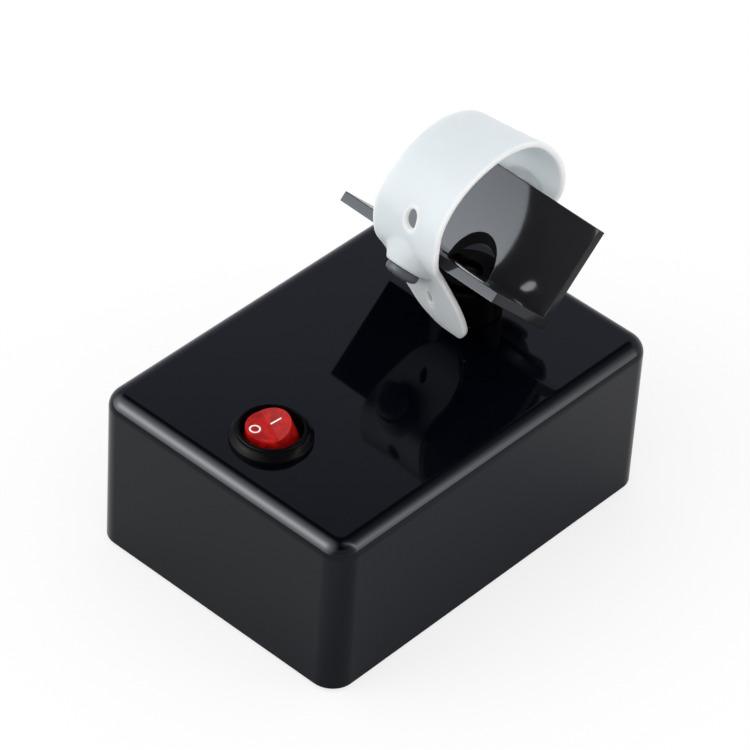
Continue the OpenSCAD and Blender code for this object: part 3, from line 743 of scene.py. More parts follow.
@dataclass
class Shell:
    """The moulded housing: a rounded box, open below, with its bosses and holes."""

    length: float = 126 * MM
    width: float = 90 * MM
    low: float = 1 * MM
    top: float = 52 * MM
    corner: float = 7 * MM
    edge: float = 4.8 * MM
    wall: float = 2.5 * MM
    roof: float = 3 * MM
    floor: float = 4 * MM
    boss_in: float = 9 * MM
    boss: float = 4 * MM
    screw: float = 1.5 * MM
    pilot: Pair = (3 * MM, 16 * MM)
    rib: float = 1.6 * MM
    drive: Pair = (33.3 * MM, 0)
    drive_hole: float = 7.8 * MM
    switch: Pair = (-42.5 * MM, 0)
    switch_hole: float = 10.1 * MM
    inlet: Pair = (-30 * MM, 26 * MM)
    inlet_seat: float = 7.15 * MM
    inlet_hole: float = 6 * MM
    inlet_pad: float = 10 * MM
    over: float = 1 * MM

    @staticmethod
    def rounded(name: str, length: float, width: float, radius: float, low: float, high: float,
                steps: int) -> Piece:
        """A block with its four upright edges rounded.

        Args:
            name: name of the new shape.
            length: its size along X.
            width: its size along Y.
            radius: radius of the upright edges.
            low: height of its underside.
            high: height of its top.
            steps: faces round each edge.

        Returns:
            The new object.
        """
        obj = block(name, (-length / 2, -width / 2, low), (length / 2, width / 2, high))
        open_mesh(obj, "EDGE")
        pick(obj, "edges", lambda ends: abs(ends[0].z - ends[1].z) > (high - low) / 2)
        bpy.ops.mesh.bevel(offset=radius, segments=steps, profile=0.5, clamp_overlap=False)
        close_mesh()
        return obj

    def level_rod(self, name: str, radius: float, start: float, end: float) -> Piece:
        """A cylinder along Y at the inlet's place.

        Args:
            name: name of the new shape.
            radius: its radius.
            start: y of one end.
            end: y of the other.

        Returns:
            The new object.
        """
        obj = rod(name, radius, -abs(end - start) / 2, abs(end - start) / 2)
        x, z = self.inlet
        return placed(obj, Matrix.Translation((x, (start + end) / 2, z)) @ LYING)

    def corners(self) -> list[Pair]:
        """Give x and y of the four bosses' middles."""
        bx, by = self.length / 2 - self.boss_in, self.width / 2 - self.boss_in
        return [(i * bx, j * by) for i in (-1, 1) for j in (-1, 1)]

    def cavity(self) -> Piece:
        """The room inside, with the bosses and ribs left out of it.

        Returns:
            The shape to cut out of the box.
        """
        inner_l, inner_w = self.length - 2 * self.wall, self.width - 2 * self.wall
        ceiling = self.top - self.roof
        top, bottom = ceiling + self.over, self.low - self.over
        room = self.rounded("room", inner_l, inner_w, self.corner - self.wall, bottom, ceiling, 8)
        kept = []
        for x, y in self.corners():
            far_x = math.copysign(inner_l / 2 + self.over, x)
            far_y = math.copysign(inner_w / 2 + self.over, y)
            half = self.rib / 2
            kept += [
                rod("boss", self.boss, self.floor, top, (x, y), 32),
                block("rib", (x - half, min(y, far_y), self.floor), (x + half, max(y, far_y), top)),
                block("rib", (min(x, far_x), y - half, self.floor), (max(x, far_x), y + half, top))]
        back = self.width / 2
        kept.append(self.level_rod("pad", self.inlet_pad, back - 4.5 * MM, back - 1.5 * MM))
        combine(room, kept)
        return room

    def build(self) -> Piece:
        """Shape the housing.

        Returns:
            The finished piece.
        """
        shell = self.rounded("shell", self.length, self.width, self.corner, self.low, self.top, 18)
        open_mesh(shell, "EDGE")
        pick(shell, "edges", lambda ends: all(p.z > self.top - 0.1 * MM for p in ends))
        bpy.ops.mesh.bevel(offset=self.edge, segments=16, profile=0.5, clamp_overlap=False)
        close_mesh()
        back, deck = self.width / 2, (self.top - 5 * MM, self.top + 2 * MM)
        combine(shell, [
            self.cavity(),
            rod("drive_hole", self.drive_hole, *deck, self.drive, 72),
            rod("switch_hole", self.switch_hole, *deck, self.switch, 72),
            self.level_rod("inlet_seat", self.inlet_seat, back - 1.6 * MM, back + self.over),
            self.level_rod("inlet_hole", self.inlet_hole, back - 7 * MM, back + self.over),
            *(rod("pilot", self.screw, *self.pilot, at, 24) for at in self.corners())])
        soften(shell)
        return shell

    def dress(self, piece: Piece, shop: Paintshop) -> None:
        """Polish the housing and let it stand for its node."""
        fit(piece, Body.BOX, "gloss_black", shop, "housing")


# ---- the switch ----


@dataclass
class PowerSwitch:
    """The round switch: stepped bezel, red rocker with its valley, and its two printed marks.

    The bezel's section, the ring and the ink's height are in millimetres, all else in metres.
    """

    at: Pair = (-42.5 * MM, 0)
    turn: float = math.radians(-22)
    deck: float = 52 * MM
    pivot: float = 51 * MM
    tilt: float = math.radians(10)
    rocker: float = 7.6 * MM
    rocker_top: float = 6.0 * MM
    valley: float = 5.2 * MM
    mark_y: float = 0.4 * MM
    barrel: float = 9.9 * MM
    wing: float = 0.9 * MM
    wing_z: Pair = (46.5 * MM, 49 * MM)
    socket: float = 1.05 * MM
    blade_at: float = 4 * MM
    blade_slot: Pair = (0.45 * MM, 2.45 * MM)
    skirt: float = -3.5 * MM
    hollow: float = 6.1 * MM
    axle: Pair = (1 * MM, 9.2 * MM)
    ring: Pair = (1.13, 1.6)
    ring_at: float = 3.85 * MM
    bar: Pair = (1.65 * MM, 0.22 * MM)
    bar_at: float = 2.4 * MM
    ink: float = 0.035
    section: tuple[Pair, ...] = (
        (0, -12), (9.9, -12), (9.9, 0), (11.5, 0), (11.5, 0.85), (11.44, 1.1), (11.28, 1.25), (10.75, 1.6),
        (10.2, 2.1), (9.95, 2.5), (9.84, 2.65), (9.76, 3.1), (9.64, 3.41), (9.4, 3.55), (8.9, 3.55),
        (8.68, 3.47), (8.6, 3.25), (8.6, -9), (0, -9))

    def frame(self) -> Matrix:
        """Give the switch's own frame on the box's top."""
        return Matrix.Translation((self.at[0], self.at[1], 0)) @ Matrix.Rotation(self.turn, 4, "Z")

    def rocking_frame(self) -> Matrix:
        """Give the rocker's own frame, tilted to OFF."""
        return self.frame() @ Matrix.Translation((0, 0, self.pivot)) @ Matrix.Rotation(-self.tilt, 4, "Y")

    def build_body(self) -> Piece:
        """Turn the bezel and barrel, and cut the pivots' sockets and the blades' slots.

        Returns:
            The finished piece.
        """
        body = turned("bezel", [(x * MM, self.deck + z * MM) for x, z in self.section])
        for s in (-1, 1):
            near, far = sorted((s * (self.barrel - 1 * MM), s * (self.barrel + self.wing)))
            low, high = self.wing_z
            combine(body, [block("wing", (-2.5 * MM, near, low), (2.5 * MM, far, high))], "UNION")
        socket = placed(rod("socket", self.socket, -9.4 * MM, 9.4 * MM, sides=24),
                        Matrix.Translation((0, 0, self.pivot)) @ LYING)
        thin, wide = self.blade_slot
        slots = [block("slot", (x - thin, -wide, 39 * MM), (x + thin, wide, 44 * MM))
                 for x in (-self.blade_at, self.blade_at)]
        combine(body, [socket, *slots])
        soften(body)
        return placed(body, self.frame())

    def build_rocker(self) -> Piece:
        """Shape the rocker: a tapered round plug cut to two flats, hollow below, with softened edges.

        Returns:
            The finished piece.
        """
        deselect()
        tall = self.valley + 2 * MM
        bpy.ops.mesh.primitive_cone_add(
            vertices=96, radius1=self.rocker, radius2=self.rocker_top, depth=tall, location=(0, 0, tall / 2))
        plug = settle(bpy.context.object, "rocker_lens")
        combine(plug, [rod("skirt", self.rocker, self.skirt, 0.001 * MM, sides=96)], "UNION")
        flats = []
        for s in (-1, 1):
            near, far = sorted((0, s * 20 * MM))
            flats.append(placed(block("flat", (near, -10 * MM, 0), (far, 10 * MM, 10 * MM)), self.flat(s)))
        combine(plug, flats)
        combine(plug, [rod("hollow", self.hollow, -5.5 * MM, -1.5 * MM, sides=48)])
        press(plug, "BEVEL", width=0.38 * MM, segments=4, limit_method="ANGLE", angle_limit=math.radians(50))
        radius, reach = self.axle
        axle = placed(rod("axle", radius, -reach, reach, sides=32), LYING)
        combine(plug, [axle], "UNION")
        soften(plug)
        return placed(plug, self.rocking_frame())

    def flat(self, side: int) -> Matrix:
        """Give the frame of one of the rocker's flats in the rocker's own, Z out of the flat.

        Args:
            side: -1 for the O side, 1 for the other.

        Returns:
            The frame, its origin in the valley.
        """
        return Matrix.Translation((0, 0, self.valley)) @ Matrix.Rotation(-side * self.tilt, 4, "Y")

    def on_flat(self, side: int, out: float) -> Matrix:
        """Give a mark's place on one of the rocker's flats.

        Args:
            side: -1 for the O side, 1 for the other.
            out: distance from the valley along the flat.

        Returns:
            The place, a little off the flat.
        """
        spot = Matrix.Translation((side * out, self.mark_y, 0.02 * MM))
        return self.rocking_frame() @ self.flat(side) @ spot

    def build_marks(self) -> list[Piece]:
        """Make the printed ring and bar as thin raised pads of ink.

        Returns:
            The ring and the bar.
        """
        (inner, outer), ink = self.ring, self.ink
        ring = turned("off_mark", [(x * MM, z * MM) for x, z in (
            (inner, -0.1), (inner, 0.015), (inner + 0.05, ink), (outer - 0.05, ink), (outer, 0.015),
            (outer, -0.1), (inner, -0.1))], 48)
        soften(ring)
        long, wide = self.bar
        bar = block("on_mark", (-long, -wide, -0.1 * MM), (long, wide, ink * MM))
        soften(bar, 0.02 * MM, 2)
        return [placed(ring, self.on_flat(-1, self.ring_at)), placed(bar, self.on_flat(1, self.bar_at))]

    def dress(self, shop: Paintshop) -> None:
        """Build the switch's pieces and finish each one.

        Args:
            shop: where the materials come from.
        """
        fit(self.build_body(), Body.BOX, "matt_black", shop, "switch_body")
        fit(self.build_rocker(), Body.ROCKER, "red_lens", shop, "switch_rocker")
        for mark in self.build_marks():
            fit(mark, Body.ROCKER, "white_print", shop)


# ---- cradle, pegs and strap ----


@dataclass
class CradleFrame:
    """Where the cradle sits on its post: the V's outer corner is its origin."""

    drive_x: float = 33.3 * MM
    throw: float = 2.5 * MM
    throw_at: float = math.radians(23.6)
    corner_z: float = 61.3 * MM
    turn: float = math.radians(-2.2)
    peg_along: float = 27 * MM
    peg_y: float = 2.4 * MM

    def frame(self) -> Matrix:
        """Give the cradle's own frame.

        Returns:
            The frame, in the row frame.
        """
        x = self.drive_x + self.throw * math.cos(self.throw_at)
        y = self.throw * math.sin(self.throw_at)
        return Matrix.Translation((x, y, self.corner_z)) @ Matrix.Rotation(self.turn, 4, "Z")

    def on_leg(self, side: Side) -> Matrix:
        """Give a peg's own frame, Z out of a leg's outer face.

        Args:
            side: which leg.

        Returns:
            The frame, in the cradle's own frame.
        """
        c = math.sqrt(0.5)
        return (Matrix.Translation((side.value * self.peg_along * c, self.peg_y, self.peg_along * c))
                @ Matrix.Rotation(math.radians(side.value * 135), 4, "Y"))


@dataclass
class Cradle:
    """The V of smoked sheet, with polished edges and the hole that the post's neck comes up through."""

    seat: CradleFrame
    leg: float = 31.2 * MM
    sheet: float = 3 * MM
    length: float = 57.8 * MM
    neck_hole: float = 7.5 * MM
    peg_hole: float = 2.02 * MM
    peg_seat: float = 2.22 * MM
    polish: float = 0.22 * MM

    def build(self) -> Piece:
        """Draw the V's section, draw it out to its length, drill it and polish its edges.

        Returns:
            The finished piece.
        """
        a, t = self.leg * math.sqrt(0.5), self.sheet * math.sqrt(0.5)
        outline = [(0, 0), (a, a), (a - t, a + t), (0, 2 * t), (-a + t, a + t), (-a, a), (0, 0)]
        sheet = drawn("cradle_sheet", outline)
        open_mesh(sheet)
        bpy.ops.mesh.select_all(action="SELECT")
        bpy.ops.mesh.remove_doubles(threshold=0.001 * MM)
        bpy.ops.mesh.edge_face_add()
        bpy.ops.transform.translate(value=(0, -self.length / 2, 0))
        bpy.ops.mesh.extrude_region_move(TRANSFORM_OT_translate={"value": (0, self.length, 0)})
        seal()
        drills = [rod("neck_hole", self.neck_hole, -5 * MM, 35 * MM, sides=80)]
        for side in Side:
            drill = rod("peg_hole", self.peg_hole, -self.peg_seat, 1 * MM, sides=32)
            drills.append(placed(drill, self.seat.on_leg(side)))
        combine(sheet, drills)
        soften(sheet, self.polish, 3)
        return placed(sheet, self.seat.frame())


@dataclass
class Peg:
    """A headed peg on the outer face of a leg."""

    seat: CradleFrame
    section: tuple[Pair, ...] = (
        (0, -2.2), (2, -2.2), (2, 5.55), (2.1, 5.75), (2.3, 5.8), (4.45, 5.8), (4.75, 5.92), (4.9, 6.25),
        (4.9, 7.1), (4.82, 7.5), (4.55, 7.9), (4.0, 8.22), (3.2, 8.48), (2.2, 8.62), (1.1, 8.69), (0, 8.7))

    def build(self) -> Piece:
        """Turn one peg, copy it for the other leg, and join the two as their node has them.

        Returns:
            The finished pair.
        """
        pair = []
        for side in Side:
            peg = turned("peg_" + side.name.lower(), [(x * MM, z * MM) for x, z in self.section], 72)
            soften(peg)
            pair.append(placed(peg, self.seat.frame() @ self.seat.on_leg(side)))
        deselect()
        for peg in pair:
            peg.select_set(True)
        bpy.context.view_layer.objects.active = pair[0]
        bpy.ops.object.join()
        pair[0].name = "pegs"
        return pair[0]


@dataclass(frozen=True)
class Hole:
    """An oval hole in the strap: its knot number, and its y and half sizes in millimetres."""

    knot: float
    y: float
    along: float
    across: float


@dataclass
class Strap:
    """The soft strap: a moulded band with peg holes, in the bend that it keeps over a bottle.

    Each knot of its course is x, z, middle y, half width, curl of its edges and lean of its far edge,
    in millimetres in the cradle's frame, from the loose tail over the top to the rear end.
    """

    seat: CradleFrame
    knots: tuple[tuple[float, float, float, float, float, float], ...] = (
(-12.4, -7.0, -7.4, 2.4, 0, 0), (-13.6, -5.2, -7.3, 5.2, 0, 0),
        (-15.2, -1.0, -6.2, 8.6, 0.1, 0), (-16.7, 4.4, -4.3, 10.2, 0.2, 0),
        (-18.0, 9.2, -2.3, 10.8, 0.3, 0), (-19.3, 13.4, -0.2, 10.8, 0.2, 0),
        (-20.9, 17.3, 1.2, 11.0, 0.1, 0), (-23.1, 22.0, 1.9, 11.6, 0.2, 0),
        (-23.3, 28.0, 2.0, 12, 0.5, 0), (-22.2, 34.0, 2.0, 12, 0.7, 0),
        (-18.7, 39.6, 2.0, 12, 0.45, -0.3), (-13.5, 43.8, 2.0, 12, 0.4, -0.35),
        (-7.1, 46.5, 2.0, 12, 0.35, -0.45), (-0.5, 47.6, 2.0, 12, 0.25, -0.75),
        (6.3, 47.0, 2.0, 12, 0.15, -1.05), (12.9, 44.4, 2.0, 12, 0.1, -1.25),
        (18.7, 39.2, 2.0, 12, 0.2, -1.05), (22.8, 33.0, 2.0, 12, 0.5, -0.5),
        (24.6, 27.0, 2.0, 12, 0.5, -0.3), (24.3, 21.4, 2.2, 11.6, 0.2, -0.4),
        (20.9, 17.3, 2.4, 10.5, 0, 0), (17.6, 13.4, 2.4, 7.6, 0, 0), (16.0, 11.7, 2.4, 3.4, 0, 0))
    thick: float = 1.8
    curl: float = 1.2
    holes: tuple[Hole, ...] = (
        Hole(6, 2.4, 2.7, 2.3), Hole(20, 2.4, 2.7, 2.3),
        Hole(8.77, 1.15, 3.1, 1.9), Hole(3.1, -2.6, 2.7, 0.9))
    row: float = 1.45
    columns: tuple[float, ...] = (0.0, 0.145, 0.29, 0.435, 0.58, 0.725, 0.87)
    lip: float = 0.42
    hole_grow: float = 1.02
    head_r: float = 4.9
    head_low: float = 5.72
    held: float = 8.2
    ridge: float = 0.3
    ridge_out: float = 0.75
    ridge_half: float = 0.4
    ridge_fade: float = 4
    length: list[float] = field(default_factory=list)

    def at(self, s: float) -> list[float]:
        """Give the course at a knot number, smoothly between knots.

        Args:
            s: place along the strap, counted in knots.

        Returns:
            The six numbers of a knot.
        """
        last = len(self.knots) - 1
        i = max(0, min(last - 1, math.floor(s)))
        t = s - i
        a, b, c, d = (self.knots[max(0, min(last, k))] for k in (i - 1, i, i + 1, i + 2))
        return [0.5 * (2 * q + (r - p) * t + (2 * p - 5 * q + 4 * r - w) * t * t
                       + (3 * q - p - 3 * r + w) * t ** 3) for p, q, r, w in zip(a, b, c, d)]

    def outward(self, s: float) -> Pair:
        """Give the direction out of the strap's outer face, square to its course.

        Args:
            s: place along the strap, counted in knots.

        Returns:
            Its x and z.
        """
        a, b = self.at(s - 0.05), self.at(s + 0.05)
        n = math.hypot(b[0] - a[0], b[1] - a[1])
        return -(b[1] - a[1]) / n, (b[0] - a[0]) / n

    def measure(self) -> None:
        """Lay the strap's length out against the knot numbers, a hundred steps to a knot."""
        total, before = 0.0, self.at(0)
        self.length = [0.0]
        for i in range(1, (len(self.knots) - 1) * 100 + 1):
            now = self.at(i / 100)
            total += math.hypot(now[0] - before[0], now[1] - before[1])
            self.length.append(total)
            before = now

    def knot_at(self, run: float) -> float:
        """Turn a length along the flat strap into a knot number.

        Args:
            run: millimetres from the tail's end; a little beyond either end is allowed.

        Returns:
            The knot number.
        """
        if run <= 0:
            return run / (self.length[1] * 100)
        if run >= self.length[-1]:
            return len(self.knots) - 1 + (run - self.length[-1]) / ((self.length[-1] - self.length[-2]) * 100)
        low, high = 0, len(self.length) - 1
        while high - low > 1:
            mid = (low + high) // 2
            low, high = (mid, high) if self.length[mid] <= run else (low, mid)
        return (low + (run - self.length[low]) / (self.length[high] - self.length[low])) / 100

    def bent(self, flat: Vector) -> Vector:
        """Carry a point of the flat strap to its place in the bend.

        Args:
            flat: length along, true y and height off the middle, in millimetres.

        Returns:
            The point in the cradle's frame, in metres.
        """
        s = self.knot_at(flat.x)
        x, z, middle, half, curl, lean = self.at(s)
        n = self.outward(s)
        v = (flat.y - middle) / max(half, 1.0)
        out = curl * self.curl * v * v + lean * v
        normal = Vector((n[0], 0, n[1]))
        core = Vector((x, flat.y, z)) + normal * out
        return (core + normal * flat.z + self.held_out(core, normal)) * MM

    def held_out(self, core: Vector, normal: Vector) -> Vector:
        """Say how far the strap stands out against a peg's head, which it is stretched under.

        Args:
            core: a point of the strap's middle surface in the cradle's frame, in millimetres.
            normal: direction out of the strap there.

        Returns:
            The shift along the peg, nothing away from both pegs.
        """
        for side in Side:
            peg = self.seat.on_leg(side)
            own = peg.inverted() @ (core * MM) / MM
            axis = peg.to_3x3() @ Vector((0, 0, 1))
            reach = math.hypot(own.x, own.y)
            if reach > self.held or normal.dot(axis) < 0.2:
                continue
            near = min(1.0, (self.held - reach) / (self.held - self.head_r))
            near = near * near * (3 - 2 * near)
            level = self.head_low - self.thick / 2 * normal.dot(axis)
            crest = math.exp(-((reach - self.head_r - self.ridge_out) / self.ridge_half) ** 2)
            rise = self.ridge * crest * max(0.0, min(1.0, 0.5 + (own.x + own.y) / self.ridge_fade))
            return axis * (near * max(0.0, level - own.z) + rise)
        return Vector((0, 0, 0))

    def grid(self) -> tuple[Piece, list[float], list[float]]:
        """Lay out the flat band as a grid of quads whose columns follow its changing width.

        Returns:
            The grid, the lengths of its rows, and its columns from -1 to 1.
        """
        end = self.length[-1]
        count = round(end / self.row)
        rows = [-0.12, 0.5] + [end * i / count for i in range(1, count)] + [end - 0.5, end + 0.12]
        inner = [c for c in self.columns if c]
        columns = [-1.0, *[-c for c in reversed(inner)], 0.0, *inner, 1.0]
        deselect()
        bpy.ops.mesh.primitive_grid_add(x_subdivisions=len(rows) - 1, y_subdivisions=len(columns) - 1, size=2)
        obj = settle(bpy.context.object, "strap_band")
        for v in obj.data.vertices:
            i = round((v.co.x + 1) / 2 * (len(rows) - 1))
            j = round((v.co.y + 1) / 2 * (len(columns) - 1))
            v.co = (i, j, 0)
        return obj, rows, columns

    def column_place(self, run: float, column: float) -> float:
        """Give the true y of a column at a length along the strap.

        Args:
            run: millimetres along the flat strap.
            column: the column's number from -1 to 1.

        Returns:
            Its y in millimetres; the outermost inner column keeps a lip's width from the edge.
        """
        knot = self.at(self.knot_at(run))
        middle, half = knot[2], max(knot[3], 1.2)
        if abs(column) > 0.99:
            return middle + column * half
        return middle + column / self.columns[-1] * (half - min(self.lip * 1.5, half * 0.3))

    def block_of(self, hole: Hole, rows: list[float], columns: list[float]) -> tuple[int, int, int, int]:
        """Find the block of quads that a hole and its lip take up.

        Args:
            hole: the hole.
            rows: the lengths of the grid's rows.
            columns: its columns.

        Returns:
            Its first and last row, and its first and last column.
        """
        run = self.run_of(hole)
        places = [self.column_place(run, c) for c in columns]
        ends = []
        for lines, middle, half in ((rows, run, hole.along), (places, hole.y, hole.across)):
            first, last = (
                min(range(len(lines)), key=lambda k: abs(lines[k] - middle - side * (half + self.lip)))
                for side in (-1, 1))
            ends += [first, max(first + 2, last)]
        return tuple(ends)

    def run_of(self, hole: Hole) -> float:
        """Give the length along the flat strap at which a hole's middle lies."""
        return self.length[round(hole.knot * 100)]

    def cut_holes(self, obj: Piece, rows: list[float], columns: list[float]) -> None:
        """Open a block of quads for each hole, pull its border to the hole's outline and add a lip.

        Args:
            obj: the grid, its vertices still at row and column numbers.
            rows: the lengths of its rows.
            columns: its columns.
        """
        blocks = [(hole, *self.block_of(hole, rows, columns)) for hole in self.holes]
        for hole, i0, i1, j0, j1 in blocks:
            open_mesh(obj, "FACE")
            pick(obj, "polygons", lambda spots: all(i0 <= p.x <= i1 and j0 <= p.y <= j1 for p in spots))
            bpy.ops.mesh.delete(type="FACE")
            close_mesh()
        for v in obj.data.vertices:
            i, j = round(v.co.x), round(v.co.y)
            v.co = (rows[i], self.column_place(rows[i], columns[j]), 0)
            for hole, i0, i1, j0, j1 in blocks:
                if i0 <= i <= i1 and j0 <= j <= j1 and (i in (i0, i1) or j in (j0, j1)):
                    angle = math.atan2((2 * j - j0 - j1) / (j1 - j0), (2 * i - i0 - i1) / (i1 - i0))
                    v.co = (self.run_of(hole) + (hole.along + self.lip) * math.cos(angle),
                            hole.y + (hole.across + self.lip) * math.sin(angle), 0)
        for hole in self.holes:
            open_mesh(obj, "EDGE")
            run, long, wide = self.run_of(hole), hole.along + self.lip, hole.across + self.lip
            pick(obj, "edges", lambda ends: all(
                abs(math.hypot((p.x - run) / long, (p.y - hole.y) / wide) - 1) < 1e-3 for p in ends))
            bpy.ops.mesh.extrude_edges_move()
            bpy.ops.transform.resize(
                value=(hole.along * self.hole_grow / long, hole.across * self.hole_grow / wide, 1),
                center_override=(run, hole.y, 0), orient_type="GLOBAL")
            close_mesh()

    def build(self) -> Piece:
        """Lay out the flat band, cut it, thicken and round it, and bend it to its course.

        Returns:
            The finished piece.
        """
        self.measure()
        band, rows, columns = self.grid()
        self.cut_holes(band, rows, columns)
        open_mesh(band)
        seal()
        press(band, "SOLIDIFY", thickness=self.thick, offset=0, use_even_offset=True)
        levels = 2
        press(band, "SUBSURF", levels=levels, render_levels=levels, boundary_smooth="ALL")
        # the rim attribute masks the painted glow on the strap's rims and the holes' rims
        rim = band.data.attributes.new("rim", "FLOAT", "POINT")
        for v in band.data.vertices:
            rim.data[v.index].value = self.rim_at(v.co)
        for v in band.data.vertices:
            v.co = self.bent(v.co)
        open_mesh(band)
        seal()
        take(band)
        bpy.ops.object.shade_smooth()
        return placed(band, self.seat.frame())

    def rim_at(self, flat: Vector) -> float:
        """Say how near a point of the flat band is to its rim or to a hole's, the mask of the painted rim
        glow.

        Args:
            flat: length along, true y and height, in millimetres.

        Returns:
            1 on the rim, falling to 0 a little way in.
        """
        knot = self.at(self.knot_at(flat.x))
        near = min(knot[3] - abs(flat.y - knot[2]), flat.x, self.length[-1] - flat.x)
        for hole in self.holes:
            scale = math.hypot((flat.x - self.run_of(hole)) / hole.along, (flat.y - hole.y) / hole.across)
            near = min(near, abs(scale - 1) * min(hole.along, hole.across))
        return max(0.0, min(1.0, 1 - near / 0.9)) ** 0.8


# ---- the workings, kept as the CAD has them ----


@dataclass
class Workings:
    """All that the box hides or that shows only from below: CAD nodes that get a finish."""

    spare: str = "zinc_steel"

    def dress(self, shop: Paintshop) -> None:
        """Give every kept node the finish of its material slot.

        Args:
            shop: where the materials come from.
        """
        slot_of = {}
        for part in frame["record"]["subparts"]:
            slot_of[part["node"]] = part["material_slot"]
        for name, node in frame["nodes"].items():
            slot = slot_of.get(name) or self.spare
            shop.coat(node, slot)
            log.info("%s keeps its CAD shape, finish %s", name, slot)


# ---- the studio ----


@dataclass(frozen=True)
class SoftLight:
    """A soft light far away: round, or narrowed across one direction."""

    axis: Triple
    width: float
    strength: float
    side: Triple = (0, 0, 0)
    side_width: float = 1


@dataclass
class Studio:
    """Pale floor, soft light and the camera at the photograph's angle.

    The sky's stops are degrees above the floor and brightness. The painted shadow is its inner and outer
    radius and how much painted shade it adds there to the floor's mirror image.
    """

    camera_at: Triple = (-707.35 * MM, -603.15 * MM, 854.87 * MM)
    right: Triple = (0.68100524, -0.73060604, 0.04946394)
    up: Triple = (0.45456906, 0.47473281, 0.75365491)
    back: Triple = (-0.57410699, -0.49075816, 0.65540643)
    focal: float = 216.9
    floor_r: float = 3.0
    key: SoftLight = SoftLight((-0.67, 0.51, 0.54), 17, 20)
    fill: SoftLight = SoftLight((0.48, -0.69, 0.57), 23, 10.5, (0.82, 0.57, 0), 0.075)
    light_edge: Pair = (60, 34)
    sky: tuple[Pair, ...] = (
        (0, 1.0), (8, 1.0), (20, 0.72), (37, 0.8), (40.5, 0.68), (43, 0.42), (48, 0.07), (90, 0.03))
    sky_tint: Triple = (0.95, 0.98, 1.16)
    seen_white: float = 0.7
    mirrored_white: float = 0.0
    painted_shadow_at: Triple = (-10 * MM, -75 * MM, 0)
    painted_shadow: tuple[float, float, float, float] = (35 * MM, 105 * MM, 0.34, 0.06)
    room_light: float = 0.82
    soft_share: float = 0.11

    def build_camera(self) -> None:
        """Stand the camera where the photograph was taken from."""
        data = bpy.data.cameras.new("camera")
        data.lens = self.focal
        data.sensor_width = 36
        data.clip_start, data.clip_end = 0.05, 20
        camera = bpy.data.objects.new("camera", data)
        bpy.context.scene.collection.objects.link(camera)
        turn = Matrix((self.right, self.up, self.back)).transposed().to_4x4()
        camera.matrix_world = Matrix.Translation(self.camera_at) @ turn
        bpy.context.scene.camera = camera

    def build_floor(self) -> None:
        """Lay a wide pale floor that stays white to the eye and keeps a soft shadow; a painted shadow in
        front of the box shows only in its mirror image.
        """
        deselect()
        bpy.ops.mesh.primitive_circle_add(vertices=96, radius=self.floor_r, fill_type="NGON")
        floor = settle(bpy.context.object, "floor")
        material = bpy.data.materials.new("pale_floor")
        material.use_nodes = True
        tree = material.node_tree
        tree.nodes.remove(tree.nodes["Principled BSDF"])
        paper = wire(tree, "BsdfDiffuse", {"Color": (0.9, 0.9, 0.9, 1)})
        white = wire(tree, "Emission", {"Strength": 1.04})
        # painted shadow: a dark bluish glow that the floor shows to glossy rays only, mixed in by the mask
        # below
        painted_shadow_emission = wire(tree, "Emission", {"Color": (0, 0.02, 0.12, 1)})
        path = wire(tree, "LightPath").outputs
        share = 0.0
        for ray, part in (("Is Camera Ray", self.seen_white), ("Is Glossy Ray", self.mirrored_white),
                          ("Is Transmission Ray", self.seen_white)):
            share = calc(tree, "MULTIPLY_ADD", path[ray], part, share)
        # painted shadow share: only rays mirrored off the pieces see it
        painted_shadow_share = calc(tree, "MULTIPLY", path["Is Glossy Ray"], self.build_painted_shadow(tree))
        lit = wire(tree, "MixShader", {0: share, 1: paper.outputs[0], 2: white.outputs[0]})
        with_painted_shadow = wire(tree, "MixShader", {0: painted_shadow_share, 1: lit.outputs[0], 2: painted_shadow_emission.outputs[0]})
        feed(tree, tree.nodes["Material Output"], {"Surface": with_painted_shadow.outputs[0]})
        floor.data.materials.append(material)

    def build_painted_shadow(self, tree: Nodes) -> Socket:
        """Make the mask of the painted shadow on the floor in front of the box, which only the box's front
        wall mirrors.

        Args:
            tree: the floor's nodes.

        Returns:
            The mask's socket.
        """
        place = wire(tree, "TexCoord").outputs["Object"]
        away = wire(tree, "VectorMath", {0: place, 1: self.painted_shadow_at}, operation="DISTANCE").outputs["Value"]
        near, far, deep, faint = self.painted_shadow
        span = wire(tree, "MapRange", {
            "Value": away, "From Min": near, "From Max": far, "To Min": deep, "To Max": faint},
            interpolation_type="SMOOTHSTEP")
        return span.outputs["Result"]

    def softbox(self) -> Nodes:
        """Make the node group of one soft light in the sky.

        Returns:
            The group: direction, axes, widths and strength in, brightness out.
        """
        tree, given, result = start_group("soft_light", {
            "Direction": None, "Axis": None, "Side": None, "Width": 0, "Side Width": 0, "Strength": 0},
            "Brightness")
        toward, across = (wire(tree, "VectorMath", {0: given["Direction"], 1: given[key]},
                               operation="DOT_PRODUCT").outputs["Value"] for key in ("Axis", "Side"))
        angle = calc(tree, "ARCCOSINE", calc(tree, "MINIMUM", toward, 0.99999))
        ratio = calc(tree, "DIVIDE", angle, given["Width"])
        narrow = calc(tree, "DIVIDE", across, given["Side Width"])
        square = calc(tree, "MULTIPLY", narrow, narrow)
        spread = calc(tree, "MULTIPLY_ADD", ratio, ratio, square)
        bell = calc(tree, "DIVIDE", given["Strength"], calc(tree, "ADD", spread, 1.0))
        outer, inner = map(math.radians, self.light_edge)
        edge = wire(tree, "MapRange", {"Value": angle, "From Min": outer, "From Max": inner},
                    interpolation_type="SMOOTHSTEP")
        tree.links.new(calc(tree, "MULTIPLY", bell, edge.outputs["Result"]), result)
        return tree

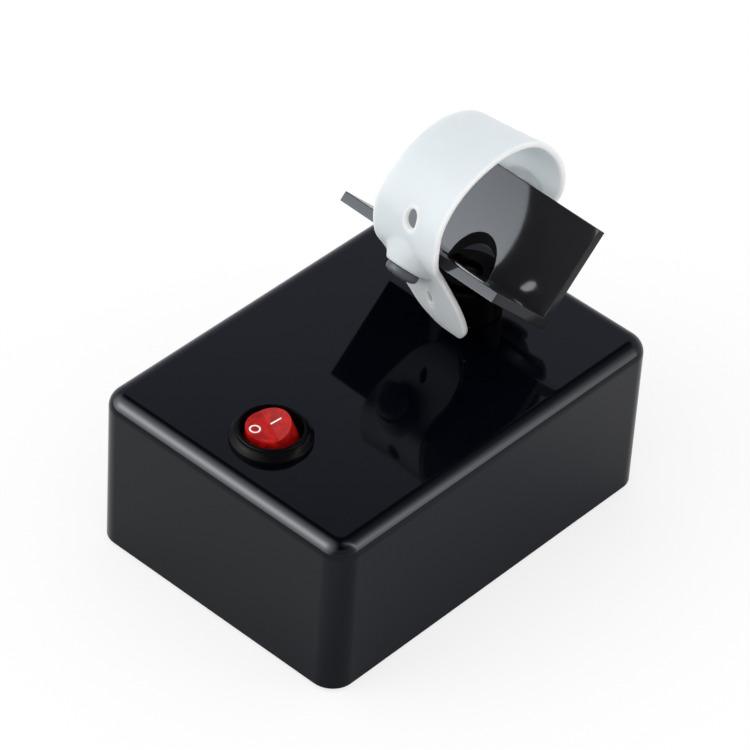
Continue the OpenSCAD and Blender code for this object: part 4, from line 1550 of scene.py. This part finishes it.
    def build_light(self) -> None:
        """Light the room: a large key light behind on the left and a weaker one in front on the right.

        What the pieces mirror is the sky's gradient with the two lights. All else is lit by a plain room
        light and a small share of the two.
        """
        world = bpy.data.worlds.new("studio")
        bpy.context.scene.world = world
        world.use_nodes = True
        tree = world.node_tree
        view = wire(tree, "TexCoord").outputs["Generated"]
        height = calc(tree, "ARCSINE", wire(tree, "SeparateXYZ", {"Vector": view}).outputs["Z"])
        upward = wire(tree, "MapRange", {"Value": height, "From Min": 0, "From Max": math.pi / 2})
        ramp = wire(tree, "ValToRGB", {"Fac": upward.outputs["Result"]})
        stops = ramp.color_ramp.elements
        while len(stops) < len(self.sky):
            stops.new(0.5)
        for stop, (degrees, value) in zip(stops, self.sky):
            stop.position = degrees / 90
            stop.color = (*(value * c for c in self.sky_tint), 1)
        group = self.softbox()
        lights = [wire(tree, "Group", {
            "Direction": view, "Axis": Vector(light.axis).normalized(), "Width": math.radians(light.width),
            "Side": light.side, "Side Width": light.side_width, "Strength": light.strength},
            node_tree=group).outputs["Brightness"] for light in (self.key, self.fill)]
        both = calc(tree, "ADD", *lights)
        mirrored = blend(tree, 1, ramp.outputs["Color"], both, blend_type="ADD", clamp_result=False)
        plain = calc(tree, "MULTIPLY_ADD", both, self.soft_share, self.room_light)
        glossy = wire(tree, "LightPath").outputs["Is Glossy Ray"]
        feed(tree, tree.nodes["Background"], {"Color": blend(tree, glossy, plain, mirrored)})

    def build(self) -> None:
        """Set up floor, light, camera and the plain view transform."""
        self.build_floor()
        self.build_light()
        self.build_camera()
        bpy.context.scene.view_settings.view_transform = "Standard"


def main() -> None:
    """Build every sub-assembly in turn, dress it, and set up the studio."""
    logging.basicConfig(level=logging.INFO, format="%(name)s: %(message)s")
    shop = Paintshop()
    Workings().dress(shop)
    shell = Shell()
    shell.dress(shell.build(), shop)
    PowerSwitch().dress(shop)
    seat = CradleFrame()
    fit(Cradle(seat).build(), Body.CARRIER, "smoked_sheet", shop, "cradle")
    fit(Peg(seat).build(), Body.CARRIER, "peg_grey", shop, "strap_pegs")
    fit(Strap(seat).build(), Body.CARRIER, "milky_silicone", shop, "strap")
    Studio().build()


if __name__ == "__main__":
    main()
